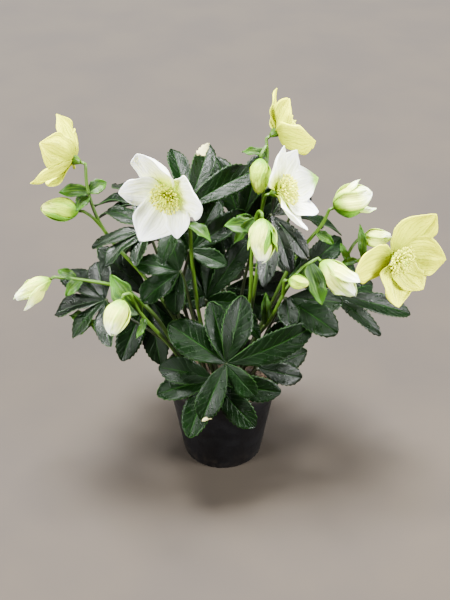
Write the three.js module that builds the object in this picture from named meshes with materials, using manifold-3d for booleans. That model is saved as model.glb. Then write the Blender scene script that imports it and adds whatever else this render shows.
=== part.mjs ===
// A hellebore in flower, planted in a round nursery pot.
//
// Millimetres and degrees, +Z up. The origin is the middle of the pot's base, on the ground.
// A bearing is measured from +X towards +Y, and a rise is measured up from level.
//
// Every leaf is one body: a leaf stalk and the leaflets that spread from its top. Every
// flowering stem is one body with its branches and leafy bracts. Each bloom is two bodies,
// the five petal-like sepals on their receptacle and the boss of stamens, and each bud is one.

import * as THREE from 'three';
import { mergeVertices } from 'three/addons/utils/BufferGeometryUtils.js';
import Module from 'manifold-3d';

const wasm = await Module();
wasm.setup();

// ---- driving dimensions ----

const POT_HEIGHT = 108;
const RIM_RADIUS = 65;
const FOOT_RADIUS = 45;
const COLLAR_HEIGHT = 20;
const COLLAR_STEP = 3;
const POT_WALL = 1.6;
const POT_SIDES = 24;

const SOIL_TOP = 97;
const ROOT_DEPTH = 10;
const CLEARANCE = 0.35;

const LEAF_THICKNESS = 1.2;
const STALK_RADIUS = 1.9;
const KNUCKLE_RADIUS = 3.8;
const STALK_SIDES = 5;
const LEAFLET_ROLL = 14;

const SEPAL_THICKNESS = 1.1;
const RECEPTACLE_RADIUS = 5.2;
const RECEPTACLE_NECK = 2.2;
const RECEPTACLE_BACK = 7;
const RECEPTACLE_TOP = 5;

// ---- small geometry helpers ----

const radians = THREE.MathUtils.degToRad;

function vec(x, y, z) {
  return new THREE.Vector3(x, y, z);
}

const EAST = vec(1, 0, 0);
const NORTH = vec(0, 1, 0);
const UP = vec(0, 0, 1);
const ORIGIN = vec(0, 0, 0);

function heading(bearing, rise) {
  const level = Math.cos(radians(rise));
  return vec(
    level * Math.cos(radians(bearing)),
    level * Math.sin(radians(bearing)),
    Math.sin(radians(rise)),
  );
}

// a point reached from another by steps along some directions
function reach(start, ...steps) {
  const point = start.clone();
  for (const [direction, distance] of steps) {
    point.addScaledVector(direction, distance);
  }
  return point;
}

// the part of a direction that is square to an axis, at unit length
function squareTo(axis, direction) {
  return reach(direction, [axis, -direction.dot(axis)]).normalize();
}

// a direction turned from one towards another that is square to it
function turned(from, towards, angle) {
  return reach(from.clone().multiplyScalar(Math.cos(angle)), [towards, Math.sin(angle)]);
}

// the level direction and the uphill one of a leaf or flower, as seen from in front of its face
function levelAndUphill(face) {
  const level = UP.clone().cross(face).normalize();
  return [level, face.clone().cross(level)];
}

// numbers between -1 and 1 that are the same on every run
function randomFrom(seed) {
  let state = seed;
  return () => {
    state = (state * 16807) % 2147483647;
    return (state / 2147483647) * 2 - 1;
  };
}

function solidFrom(geometry) {
  geometry.deleteAttribute('normal');
  geometry.deleteAttribute('uv');
  const merged = mergeVertices(geometry, 1e-4);
  return new wasm.Manifold(new wasm.Mesh({
    numProp: 3,
    vertProperties: new Float32Array(merged.attributes.position.array),
    triVerts: new Uint32Array(merged.index.array),
  }));
}

function geometryFrom(solid) {
  const mesh = solid.getMesh();
  const geometry = new THREE.BufferGeometry();
  geometry.setAttribute('position', new THREE.BufferAttribute(mesh.vertProperties, 3));
  geometry.setIndex(new THREE.BufferAttribute(mesh.triVerts, 1));
  geometry.computeVertexNormals();
  return geometry;
}

function fuse(solids) {
  return solids.reduce((sum, solid) => sum.add(solid));
}

// A closed skin over rings of points, each turning right-handed about the way they run. The
// ends are flat, or a pointed end is a ring of one point. With a waist, the rings are blades:
// from that place on the split of each square is turned round, alike on both faces.
function loft(rings, waist = Infinity) {
  const points = rings.flat();
  const sides = Math.max(...rings.map((ring) => ring.length));
  const faces = [];
  let first = 0;
  rings.forEach((ring, k) => {
    const next = rings[k + 1];
    const second = first + ring.length;
    for (let i = 0; next && i < sides; i += 1) {
      const j = (i + 1) % sides;
      const a = first + (ring.length > 1 ? i : 0);
      const b = first + (ring.length > 1 ? j : 0);
      const c = second + (next.length > 1 ? j : 0);
      const d = second + (next.length > 1 ? i : 0);
      const squares = i < waist ? [[a, b, c], [a, c, d]] : [[a, b, d], [b, c, d]];
      faces.push(...squares.filter((face) => new Set(face).size === 3));
    }
    first = second;
  });
  const last = points.length - sides;
  for (let i = 1; i < sides - 1; i += 1) {
    if (rings[0].length > 1) {
      faces.push([0, i + 1, i]);
    }
    if (rings.at(-1).length > 1) {
      faces.push([last, last + i, last + i + 1]);
    }
  }
  const geometry = new THREE.BufferGeometry();
  geometry.setFromPoints(points);
  geometry.setIndex(faces.flat());
  return solidFrom(geometry);
}

// a ring of points about an axis, the first one towards the given side
function ringAbout(centre, axis, side, radius, sides) {
  const across = axis.clone().cross(side);
  return Array.from({ length: sides }, (_, i) => {
    const turn = (2 * Math.PI * i) / sides;
    return reach(centre, [side, radius * Math.cos(turn)], [across, radius * Math.sin(turn)]);
  });
}

// a round stalk through points, thinning evenly from one radius to another
function tube(points, startRadius, endRadius, sides = STALK_SIDES) {
  let side = EAST;
  const rings = points.map((point, i) => {
    const before = points[Math.max(i - 1, 0)];
    const after = points[Math.min(i + 1, points.length - 1)];
    const along = after.clone().sub(before).normalize();
    side = squareTo(along, side);
    const radius = THREE.MathUtils.lerp(startRadius, endRadius, i / (points.length - 1));
    return ringAbout(point, along, side, radius, sides);
  });
  return loft(rings);
}

// ---- leaves ----

// Half width of a blade along its length, as a share of the widest.
function outline(s, belly, fullness) {
  return ((s / belly) ** belly * ((1 - s) / (1 - belly)) ** (1 - belly)) ** fullness;
}

// Places along a blade, with the share of the width there. Each tooth of a leaflet runs out
// towards the tip and steps back in at once.
const TOOTHED = [
  [0.26, 0.9], [0.46, 1], [0.64, 1.05], [0.69, 0.9], [0.82, 1.08], [0.86, 0.86],
];
const SMOOTH = [[0.22, 1], [0.72, 1]];

// One blade: a lens with a sharp margin, folded up along its midrib and arched along it. The
// roll lays one side of it lower than the other, so that neighbours pass under each other.
function blade({
  root, toward, face, length, width, arch = 0.07, fold = 14, roll = 0, margin = SMOOTH,
}) {
  const along = toward.clone().normalize();
  const up = squareTo(along, face).applyAxisAngle(along, radians(roll));
  const right = along.clone().cross(up);
  const rings = margin.map(([s, share]) => {
    const half = (width / 2) * outline(s, 0.58, 1.4) * share;
    const spine = reach(root, [along, s * length], [up, arch * length * 4 * s * (1 - s)]);
    const out = half * Math.cos(radians(fold));
    const lift = half * Math.sin(radians(fold));
    return [
      reach(spine, [right, out], [up, lift]),
      reach(spine, [up, -LEAF_THICKNESS / 2]),
      reach(spine, [right, -out], [up, lift]),
      reach(spine, [up, LEAF_THICKNESS / 2]),
    ];
  });
  const tip = reach(root, [along, length]);
  return loft([[root], ...rings, [tip]], 2);
}

// an even fan of leaflets, the outer ones shorter and narrower
function fan(middle, spread, count, length, width) {
  return Array.from({ length: count }, (_, i) => {
    const place = (2 * i) / (count - 1) - 1;
    const share = 1 - 0.28 * place * place;
    return [middle + (spread / 2) * place, length * share, width * (0.7 + 0.3 * share)];
  });
}

// Each leaf stands in the soil at its foot and spreads from its hub, square to its face, a
// [bearing, rise]. Its leaflets are [turn, length, width], and the turn is anticlockwise from
// level right as seen from above the leaf.
const leaves = [
  { name: 'leaf_front', foot: [4, -34], hub: [4, -60, 165], face: [-90, 32],
    leaflets: [[146, 72, 38], [104, 66, 28], [78, 72, 32], [21, 98, 32], [-46, 46, 24],
      [-112, 65, 28]] },
  { name: 'leaf_front_low', foot: [-8, -26], hub: [-9, -52, 137], face: [-90, 42],
    leaflets: [[168, 60, 30], [-166, 62, 28], [-116, 66, 30], [-50, 66, 30], [-12, 72, 28]] },
  { name: 'leaf_front_right', foot: [26, -26], hub: [38, -34, 138], face: [-65, 50],
    leaflets: [[-30, 50, 24], [0, 60, 26], [32, 42, 22]] },
  { name: 'leaf_mid', foot: [-6, -10], hub: [-17, -2, 205], face: [-90, 45],
    leaflets: [[110, 90, 20], [84, 78, 28], [58, 80, 26], [-6, 36, 22]] },
  { name: 'leaf_mid_left', foot: [-24, -12], hub: [-44, -6, 243], face: [-100, 45],
    leaflets: [[-132, 50, 30], [114, 40, 24], [176, 48, 24], [-88, 46, 24]] },
  { name: 'leaf_mid_high', foot: [-18, 4], via: [-43, 12, 205], hub: [-34, 12, 257],
    face: [-90, 60], leaflets: [[64, 70, 26], [36, 74, 24], [-24, 42, 20]] },
  { name: 'leaf_top', foot: [-14, 14], via: [-56, 34, 225], hub: [-36, 30, 299], face: [-90, 60],
    leaflets: [[34, 84, 30], [72, 80, 24], [104, 73, 22], [-112, 70, 20], [150, 60, 24]] },
  { name: 'leaf_left_high', foot: [-28, -2], via: [-56, 6, 215], hub: [-76, 14, 281],
    face: [-130, 65],
    leaflets: [[178, 60, 22], [-134, 62, 22], [-104, 58, 22], [142, 46, 22], [-66, 46, 20]] },
  { name: 'leaf_left_back', foot: [-26, 26], hub: [-85, 63, 284], face: [180, 70],
    leaflets: [[-152, 74, 26], [-118, 66, 24], [168, 64, 26], [-88, 51, 22]] },
  { name: 'leaf_left', foot: [-38, -8], hub: [-123, -10, 210], face: [-130, 60],
    leaflets: [[174, 70, 30], [-137, 58, 28], [-94, 52, 24], [-42, 58, 24], [140, 52, 26]] },
  { name: 'leaf_right', foot: [28, 20], hub: [72, 20, 213], face: [-60, 60],
    leaflets: [[21, 90, 28], [52, 62, 24], [-20, 50, 22], [84, 56, 22]] },
  { name: 'leaf_right_high', foot: [14, 20], hub: [51, 30, 289], face: [-60, 45],
    leaflets: [[-118, 78, 22], [-92, 66, 16], [-66, 60, 20], [16, 56, 24], [56, 58, 24]] },
  { name: 'leaf_right_low', foot: [34, -12], hub: [66, -19, 218], face: [-60, 60],
    leaflets: [[-24, 62, 26], [-60, 64, 34], [-112, 34, 22]] },
  { name: 'leaf_right_far', foot: [42, 12], via: [82, 22, 162], hub: [116, 20, 196],
    face: [-40, 60],
    leaflets: [[-48, 100, 24], [-78, 70, 18], [-20, 62, 24], [10, 60, 24]] },
  { name: 'leaf_right_inner', foot: [18, -18], hub: [40, -30, 172], face: [-80, 50],
    leaflets: [[20, 48, 22], [-16, 44, 20], [120, 40, 20]] },
  { name: 'leaf_inner_left', foot: [-38, 13], hub: [-82, 44, 177], face: [-81, 28],
    leaflets: [[132, 78, 30], [-84, 78, 30], [-120, 78, 30], [-48, 78, 30]] },
  { name: 'leaf_inner_mid', foot: [-28, 36], via: [-2, 27, 153], hub: [3, 44, 188],
    face: [-73, 32], leaflets: [[0, 78, 30], [-36, 78, 30], [-168, 54, 24]] },
  { name: 'leaf_inner_right', foot: [39, 23], hub: [18, 77, 205], face: [-104, 48],
    leaflets: [[96, 78, 30], [-144, 78, 30], [132, 78, 30]] },
  { name: 'leaf_inner_top', foot: [-9, 10], via: [-1, 29, 195], hub: [21, 63, 259],
    face: [-109, 29], leaflets: [[84, 78, 30], [120, 78, 30], [48, 78, 30]] },
  { name: 'leaf_back', foot: [0, 34], hub: [-6, 82, 268], face: [98, 62],
    leaflets: fan(262, 180, 5, 70, 28) },
  { name: 'leaf_back_left', foot: [-22, 38], hub: [-72, 98, 218], face: [130, 50],
    leaflets: fan(270, 200, 5, 72, 28) },
  { name: 'leaf_back_right', foot: [22, 36], hub: [76, 92, 255], face: [48, 55],
    leaflets: fan(270, 190, 5, 66, 28) },
  { name: 'leaf_back_low', foot: [2, 44], hub: [8, 104, 172], face: [90, 45],
    leaflets: fan(270, 200, 5, 70, 28) },
];

// The stalk comes straight out of the soil and bends over to meet the leaf from beneath, or
// goes by way of a point.
function stalkPath(foot, via, hub, face) {
  const bottom = vec(foot[0], foot[1], SOIL_TOP - ROOT_DEPTH);
  const start = vec(foot[0], foot[1], SOIL_TOP + 3);
  const span = hub.distanceTo(start);
  const bend = via
    ? new THREE.CatmullRomCurve3([start, vec(...via), hub], false, 'centripetal')
    : new THREE.CubicBezierCurve3(
      start,
      reach(start, [UP, span * 0.4]),
      reach(hub, [face, -span * 0.3]),
      hub,
    );
  return [bottom, ...bend.getPoints(4)];
}

function leaf({ foot, via, hub, face, leaflets }) {
  const top = vec(...hub);
  const up = heading(...face);
  const [right, uphill] = levelAndUphill(up);
  const stalk = tube(stalkPath(foot, via, top, up), STALK_RADIUS, STALK_RADIUS * 0.8);
  const knuckle = solidFrom(new THREE.OctahedronGeometry(KNUCKLE_RADIUS))
    .translate(top.toArray());
  const blades = leaflets.map(([turn, length, width]) => blade({
    root: top,
    toward: turned(right, uphill, radians(turn)),
    face: up,
    length,
    width,
    roll: LEAFLET_ROLL,
    margin: TOOTHED,
  }));
  return fuse([stalk, knuckle, ...blades]);
}

// ---- blooms ----

// Each bloom looks along its face. Its sepals are [turn, length, width, lean] about that. They
// open from the first angle above the flower's plane at the base to the second at the tip, and
// a lean adds to both.
const blooms = [
  { name: 'bloom_white_left', at: [-49, -10, 338], face: [-118, -3], open: [14, 40],
    sepals: [[112, 63, 46], [178, 53, 38], [-120, 61, 40], [-66, 46, 34], [14, 56, 44]] },
  { name: 'bloom_white_right', at: [54, 10, 327], face: [-20, 26], open: [16, 48],
    sepals: [[90, 52, 36], [44, 48, 34], [-20, 54, 38], [-68, 50, 38], [-124, 54, 38]] },
  { name: 'bloom_cream_top', at: [55, 71, 364], face: [23, 29], open: [14, 62],
    sepals: [[40, 47, 36], [112, 44, 34], [184, 52, 42, -12], [-94, 52, 42, -2], [-26, 48, 36]] },
  { name: 'bloom_cream_left', at: [-150, 42, 347], face: [168, 18], open: [14, 64],
    sepals: [[108, 50, 38], [36, 50, 38], [-42, 52, 38], [-112, 50, 44], [180, 48, 42, -14]] },
  { name: 'bloom_cream_right', at: [178, 6, 254], face: [-60, 6], open: [14, 44],
    sepals: [[52, 63, 46, -8], [-4, 55, 46], [-60, 48, 42], [-102, 54, 44], [178, 58, 46, -20]] },
];

const SEPAL_FLARE = 1.12;
const SEPAL_LAP = 0.13;
const LEAST_LAP = 1.3;
const SEPAL_RINGS = [[0.12, 0.7], [0.36, 1.02], [0.64, 1], [0.86, 0.8]];
const ACROSS = [1, 0.5, 0, -0.5, -1];

// One sepal of a bloom: it bends evenly along its length and is curved across, a little less
// than the bowl of the flower. One side of it lies over the next sepal, the other under.
function sepal(centre, axis, outward, [length, width, lean = 0], [startAngle, endAngle]) {
  const start = radians(startAngle + lean);
  const bend = radians(endAngle - startAngle);
  const side = outward.clone().cross(axis);
  const reachOut = (s) => (length / bend) * (Math.sin(start + bend * s) - Math.sin(start));
  const spine = (s) => reach(
    centre,
    [outward, reachOut(s)],
    [axis, (length / bend) * (Math.cos(start) - Math.cos(start + bend * s))],
  );
  const rings = SEPAL_RINGS.map(([s, share]) => {
    const angle = start + bend * s;
    const half = (width / 2) * outline(s, 0.6, 1.3) * share;
    const bowl = reachOut(s) * SEPAL_FLARE;
    const at = (across, offset) => {
      const turn = (half * across) / bowl;
      const out = turned(outward, side, turn);
      const inner = turned(axis, out.clone().negate(), angle);
      return reach(
        spine(s),
        [outward, -bowl],
        [out, bowl],
        [inner, across * Math.max(SEPAL_LAP * half, LEAST_LAP) + offset],
      );
    };
    const under = ACROSS.slice(1, -1).map((across) => at(across, -SEPAL_THICKNESS / 2));
    const over = ACROSS.slice(1, -1).reverse().map((across) => at(across, SEPAL_THICKNESS / 2));
    return [at(1, 0), ...under, at(-1, 0), ...over];
  });
  return loft([[spine(0)], ...rings, [spine(1)]], ACROSS.length - 1);
}

// the sepals of a bloom that looks straight up, on their receptacle
function bloomSepals({ open, sepals }) {
  const receptacle = loft([
    ringAbout(vec(0, 0, -RECEPTACLE_BACK), UP, EAST, RECEPTACLE_NECK, 6),
    ringAbout(vec(0, 0, -2), UP, EAST, RECEPTACLE_RADIUS, 6),
    ringAbout(vec(0, 0, RECEPTACLE_TOP), UP, EAST, RECEPTACLE_RADIUS * 0.7, 6),
  ]);
  const spread = sepals.map(([turn, ...size]) => (
    sepal(ORIGIN, UP, turned(EAST, NORTH, radians(turn)), size, open)
  ));
  return fuse([receptacle, ...spread]);
}

// Whorls of stamens as [count, root radius, root height, tip radius, tip height].
const WHORLS = [[8, 3.4, 8, 16.5, 15], [5, 2.4, 9, 11.5, 18.5], [3, 1, 10, 5, 21]];
const FILAMENT_RADIUS = 0.65;
const ANTHER_RADIUS = 1.25;
const ANTHER_LENGTH = 2.6;

// the boss of stamens of a bloom that looks straight up
function stamens() {
  const core = loft([
    ringAbout(vec(0, 0, RECEPTACLE_TOP + CLEARANCE), UP, EAST, 3, 6),
    ringAbout(vec(0, 0, 8), UP, EAST, 5.4, 6),
    [vec(0, 0, 12)],
  ]);
  const filaments = WHORLS.flatMap(([count, rootRadius, rootHeight, tipRadius, tipHeight], whorl) => (
    Array.from({ length: count }, (_, i) => {
      const turn = (2 * Math.PI * (i + whorl / 3)) / count;
      const outward = turned(EAST, NORTH, turn);
      const root = reach(ORIGIN, [UP, rootHeight], [outward, rootRadius]);
      const tip = reach(ORIGIN, [UP, tipHeight], [outward, tipRadius]);
      const along = tip.clone().sub(root).normalize();
      const neck = reach(tip, [along, -ANTHER_LENGTH]);
      const side = squareTo(along, UP);
      return loft([
        ringAbout(root, along, side, FILAMENT_RADIUS, 3),
        ringAbout(neck, along, side, ANTHER_RADIUS, 3),
        [tip],
      ]);
    })
  ));
  return fuse([core, ...filaments]);
}

// ---- buds ----

// A closed bud starts at the top of its stalk and points along its face. Its five sepals are
// rolled round each other, so its skin is five low ridges that turn slowly round it.
const buds = [
  { name: 'bud_left', at: [-147, 20, 300], face: [-175, 8], length: 38, width: 22 },
  { name: 'bud_far_left', at: [-178, -10, 236], face: [-162, -23], length: 42, width: 17,
    loose: [[-150, 40, 20], [-20, 42, 20]] },
  { name: 'bud_front_left', at: [-99, -60, 245], face: [-115, -50], length: 36, width: 25 },
  { name: 'bud_middle', at: [39, -20, 314], face: [-90, -55], length: 43, width: 25 },
  { name: 'bud_right', at: [100, -20, 264], face: [-33, -34], length: 48, width: 24,
    loose: [[100, 46, 24], [-60, 48, 24]] },
  { name: 'bud_back_right', at: [115, 30, 298], face: [13, 19], length: 42, width: 30,
    loose: [[-100, 46, 24], [60, 40, 26]] },
  { name: 'bud_behind', at: [39, 45, 346], face: [-96, -50], length: 36, width: 20 },
  { name: 'bud_behind_right', at: [146, 20, 266], face: [-2, 8], length: 30, width: 18 },
  { name: 'bud_small', at: [67, -38, 253], face: [-20, 4], length: 20, width: 14 },
];

const BUD_POINTS = 10;
const BUD_RINGS = [0.14, 0.4, 0.68, 0.9];
const BUD_TWIST = 50;
const BUD_NECK = 2.2;
const LOOSE_OPEN = [44, 92];

// a bud that points straight up, and the sepals that have come loose from it
function bud({ length, width, loose = [] }) {
  const rings = BUD_RINGS.map((s) => Array.from({ length: BUD_POINTS }, (_, i) => {
    const turn = (2 * Math.PI * i) / BUD_POINTS + radians(BUD_TWIST * s);
    const radius = (width / 2) * outline(s, 0.46, 1) * (i % 2 ? 0.94 : 1.05);
    return reach(ORIGIN, [UP, length * s], [turned(EAST, NORTH, turn), radius]);
  }));
  const neck = ringAbout(ORIGIN, UP, EAST, BUD_NECK, BUD_POINTS);
  const body = loft([neck, ...rings, [vec(0, 0, length)]]);
  const opening = loose.map(([turn, ...size]) => (
    sepal(UP, UP, turned(EAST, NORTH, radians(turn)), size, LOOSE_OPEN)
  ));
  return fuse([body, ...opening]);
}

// ---- flowering stems ----

// Each stem runs from the soil through its points to the bloom or bud that it holds, and so
// does each branch, from a point on the stem. A bract is a small leaf on the stem, as
// [[place], [bearing, rise], [face bearing, face rise], length, width].
const stems = [
  { name: 'stem_white_left', foot: [-10, 2], holds: 'bloom_white_left',
    points: [[-26, 2, 190], [-32, 3, 262], [-33, 0, 292], [-41, -2, 322]], branches: [],
    bracts: [[[-33, 0, 294], [-40, -14], [-60, 40], 30, 15]] },
  { name: 'stem_right', foot: [12, 6], holds: 'bloom_white_right',
    points: [[30, 8, 180], [38, 12, 255], [40, 18, 300]],
    branches: [
      { points: [[39, 15, 280], [43, 42, 322], [46, 60, 346]], holds: 'bloom_cream_top' },
      { points: [[43, 42, 322], [46, 54, 344], [45, 56, 355]], holds: 'bud_behind' },
    ],
    bracts: [[[43, 53, 345], [175, 12], [-90, 60], 26, 12],
      [[40, 15, 280], [150, 20], [-110, 50], 30, 16]] },
  { name: 'stem_left', foot: [-32, 12], holds: 'bloom_cream_left',
    points: [[-52, 17, 165], [-86, 22, 222], [-117, 26, 262], [-130, 27, 290], [-138, 34, 320]],
    branches: [{ points: [[-125, 27, 276], [-134, 22, 292]], holds: 'bud_left' }],
    bracts: [[[-137, 33, 316], [30, 20], [-90, 50], 22, 16],
      [[-137, 32, 314], [190, 8], [-90, 50], 30, 17],
      [[-136, 31, 310], [235, -10], [-120, 40], 22, 14]] },
  { name: 'stem_far_left', foot: [-38, 2], holds: 'bud_far_left',
    points: [[-72, -4, 185], [-105, -6, 222], [-142, -6, 232]],
    branches: [{ points: [[-90, -6, 207], [-112, -11, 192], [-140, -16, 186]] }],
    bracts: [[[-150, -7, 234], [160, 20], [-100, 50], 22, 13],
      [[-146, -6, 233], [215, -25], [-110, 50], 24, 14],
      [[-138, -16, 186], [170, 12], [-110, 60], 26, 13],
      [[-138, -16, 186], [225, -12], [-110, 60], 24, 12],
      [[-134, -15, 187], [285, -8], [-110, 60], 20, 11]] },
  { name: 'stem_front_left', foot: [-16, -20], holds: 'bud_front_left',
    points: [[-40, -31, 140], [-55, -36, 170], [-82, -50, 221], [-92, -52, 247]],
    branches: [],
    bracts: [[[-82, -50, 221], [160, 50], [-100, 25], 50, 26],
      [[-80, -49, 217], [-104, -20], [-60, 40], 24, 9]] },
  { name: 'stem_middle', foot: [6, -6], holds: 'bud_middle',
    points: [[20, -5, 150], [29, -5, 207], [30, -4, 256], [32, -4, 298], [36, -9, 316]],
    branches: [],
    bracts: [[[32, -6, 306], [-170, -48], [-120, 30], 34, 12],
      [[31, -4, 296], [-170, 10], [-90, 40], 30, 19]] },
  { name: 'stem_right_front', foot: [20, -2], holds: 'bud_right',
    points: [[35, -12, 160], [50, -20, 191], [65, -25, 233], [80, -24, 258]],
    branches: [{ points: [[62, -24, 226], [62, -33, 242]], holds: 'bud_small' }],
    bracts: [[[88, -22, 264], [-64, -50], [-95, 30], 44, 22],
      [[68, -25, 240], [10, 30], [-100, 50], 30, 18],
      [[46, -18, 184], [100, 80], [-90, 5], 36, 13]] },
  { name: 'stem_back_right', foot: [20, 10], holds: 'bud_back_right',
    points: [[50, 14, 180], [76, 18, 244], [104, 26, 282]],
    branches: [],
    bracts: [[[98, 24, 274], [-20, -25], [-90, 50], 22, 12]] },
  { name: 'stem_far_right', foot: [32, 2], holds: 'bloom_cream_right',
    points: [[60, 6, 150], [113, 12, 231], [145, 11, 247], [160, 15, 252]],
    branches: [{ points: [[126, 12, 238], [136, 20, 258]], holds: 'bud_behind_right' }],
    bracts: [[[146, 11, 248], [150, 80], [-90, 10], 38, 10],
      [[136, 11, 243], [160, 60], [-90, 10], 24, 8],
      [[140, 11, 245], [190, -5], [-90, 60], 20, 9]] },
];

const STEM_RADIUS = 2.3;
const STEM_TOP_RADIUS = 1.6;
const BRANCH_RADIUS = 1.7;
const HOLD_LENGTH = 5;

// the two last points of a stem, in line with the bloom or bud and just short of its back
function holdPoints(name) {
  const bloom = blooms.find((flower) => flower.name === name);
  const held = bloom ?? buds.find((flower) => flower.name === name);
  const axis = heading(...held.face);
  const back = reach(vec(...held.at), [axis, -CLEARANCE - (bloom ? RECEPTACLE_BACK : 0)]);
  return [reach(back, [axis, -HOLD_LENGTH]), back];
}

// points along a stem or branch, the last stretch straight into what it holds
function stemRoute(knots, holds, sections) {
  const [last, back] = holds ? holdPoints(holds) : [];
  const curve = new THREE.CatmullRomCurve3(last ? [...knots, last] : knots, false, 'centripetal');
  return back ? [...curve.getPoints(sections), back] : curve.getPoints(sections);
}

function stem({ foot, points, holds, branches, bracts }) {
  const bottom = vec(foot[0], foot[1], SOIL_TOP - ROOT_DEPTH);
  const start = vec(foot[0], foot[1], SOIL_TOP + 3);
  const knots = points.map((point) => vec(...point));
  const routes = [
    [bottom, ...stemRoute([start, ...knots], holds, 8)],
    ...branches.map((branch) => (
      stemRoute(branch.points.map((point) => vec(...point)), branch.holds, 4)
    )),
  ];
  const tubes = routes.map((route, i) => tube(route, i ? BRANCH_RADIUS : STEM_RADIUS, STEM_TOP_RADIUS));
  const places = routes.flatMap((route) => new THREE.CatmullRomCurve3(route).getPoints(80));
  const leafy = bracts.map(([place, toward, face, length, width]) => {
    const wanted = vec(...place);
    const root = places.reduce((best, point) => (
      point.distanceTo(wanted) < best.distanceTo(wanted) ? point : best
    ));
    return blade({
      root, toward: heading(...toward), face: heading(...face), length, width, fold: 20,
    });
  });
  return fuse([...tubes, ...leafy]);
}

// ---- pot and soil ----

const BASE_DISC = 30;
const BASE_GROOVE = 38;
const GROOVE_DEPTH = 2;
const DRAIN_HOLES = 5;
const DRAIN_RADIUS = 3;
const RIM_ROUNDING = 2;
const SHOULDER = POT_HEIGHT - COLLAR_HEIGHT;
const COLLAR_TAPER = 3;
const NECK_RADIUS = RIM_RADIUS - COLLAR_STEP - COLLAR_TAPER;
const FLOOR = GROOVE_DEPTH + POT_WALL;

// A thin shell turned about its axis. Its base has a groove that holds the drainage holes clear
// of the ground, and a wider collar stiffens its rim.
function pot() {
  const profile = [
    [0, 0],
    [BASE_DISC, 0],
    [BASE_DISC + 1, GROOVE_DEPTH],
    [BASE_GROOVE - 1, GROOVE_DEPTH],
    [BASE_GROOVE, 0],
    [FOOT_RADIUS - 1, 0],
    [FOOT_RADIUS, 1.2],
    [NECK_RADIUS, SHOULDER],
    [NECK_RADIUS + COLLAR_STEP, SHOULDER + 1.5],
    [RIM_RADIUS - 1, POT_HEIGHT - RIM_ROUNDING - 1],
    [RIM_RADIUS, POT_HEIGHT - RIM_ROUNDING],
    [RIM_RADIUS - 0.4, POT_HEIGHT],
    [RIM_RADIUS - POT_WALL - 0.6, POT_HEIGHT],
    [NECK_RADIUS + COLLAR_STEP - POT_WALL, SHOULDER + 3],
    [NECK_RADIUS - POT_WALL, SHOULDER - 1],
    [FOOT_RADIUS - POT_WALL - 0.4, FLOOR],
    [0, FLOOR],
  ];
  const shell = solidFrom(new THREE.LatheGeometry(
    profile.map(([radius, height]) => new THREE.Vector2(radius, height)),
    POT_SIDES,
  ).rotateX(Math.PI / 2));
  const drill = new THREE.CylinderGeometry(DRAIN_RADIUS, DRAIN_RADIUS, 4 * FLOOR, 6);
  const hole = solidFrom(drill.rotateX(Math.PI / 2));
  const middle = (BASE_DISC + BASE_GROOVE) / 2;
  return Array.from({ length: DRAIN_HOLES }, (_, i) => (2 * Math.PI * i) / DRAIN_HOLES)
    .map((turn) => hole.translate([middle * Math.cos(turn), middle * Math.sin(turn), 0]))
    .reduce((drained, cutter) => drained.subtract(cutter), shell);
}

const SOIL_SIDES = 14;
const SOIL_LUMP = 1.3;
const HOLE_MARGIN = 0.45;

// The potting mix fills the pot and is a little lumpy on top. Each stalk stands in a plain hole.
function soil(feet) {
  const random = randomFrom(41);
  const edge = NECK_RADIUS - POT_WALL;
  const level = (radius, height, lump = 0) => (
    ringAbout(vec(0, 0, height), UP, EAST, radius, SOIL_SIDES)
      .map((point) => reach(point, [UP, lump * random()]))
  );
  const body = loft([
    level(FOOT_RADIUS - POT_WALL - 1.2, FLOOR + CLEARANCE),
    level(edge - 0.9, SHOULDER - 1),
    level(edge + 0.8, SOIL_TOP - 4),
    level(edge - 4.3, SOIL_TOP - 1, SOIL_LUMP),
    level(edge * 0.5, SOIL_TOP, SOIL_LUMP),
    [vec(0, 0, SOIL_TOP + 0.5)],
  ]);
  const holes = feet.map(([x, y, radius]) => tube(
    [vec(x, y, SOIL_TOP - ROOT_DEPTH - CLEARANCE), vec(x, y, SOIL_TOP + 8)],
    radius + HOLE_MARGIN,
    radius + HOLE_MARGIN,
  ));
  return holes.reduce((ground, hole) => ground.subtract(hole), body);
}

// ---- the plant ----

const finishes = {
  pot: { color: 0x1d1c20, roughness: 0.45, metalness: 0 },
  soil: { color: 0x33261c, roughness: 0.95, metalness: 0 },
  leaf: { color: 0x21492a, roughness: 0.38, metalness: 0 },
  stem: { color: 0x7da03a, roughness: 0.5, metalness: 0 },
  whiteSepal: { color: 0xf4f5ea, roughness: 0.6, metalness: 0 },
  creamSepal: { color: 0xf0ecaa, roughness: 0.6, metalness: 0 },
  stamen: { color: 0xe9dc62, roughness: 0.7, metalness: 0 },
};

const plant = new THREE.Group();

function addPiece(name, solid, finish, parent = plant) {
  const piece = new THREE.Mesh(geometryFrom(solid), new THREE.MeshStandardMaterial(finish));
  piece.name = name;
  parent.add(piece);
}

// a group at a bloom or bud, turned so that what looks straight up in it looks along the face
function headOf({ at, face }) {
  const axis = heading(...face);
  const turn = new THREE.Matrix4().makeBasis(...levelAndUphill(axis), axis);
  const head = new THREE.Group();
  head.position.set(...at);
  head.setRotationFromMatrix(turn);
  plant.add(head);
  return head;
}

addPiece('pot', pot(), finishes.pot);
addPiece('soil', soil([
  ...leaves.map(({ foot }) => [...foot, STALK_RADIUS]),
  ...stems.map(({ foot }) => [...foot, STEM_RADIUS]),
]), finishes.soil);
leaves.forEach((item) => addPiece(item.name, leaf(item), finishes.leaf));
stems.forEach((item) => addPiece(item.name, stem(item), finishes.stem));
blooms.forEach((item) => {
  const head = headOf(item);
  const cream = item.name.includes('cream');
  const sepalFinish = cream ? finishes.creamSepal : finishes.whiteSepal;
  addPiece(item.name, bloomSepals(item), sepalFinish, head);
  addPiece(item.name.replace('bloom', 'stamens'), stamens(), finishes.stamen, head);
});
buds.forEach((item) => addPiece(item.name, bud(item), finishes.whiteSepal, headOf(item)));

export default plant;
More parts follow.
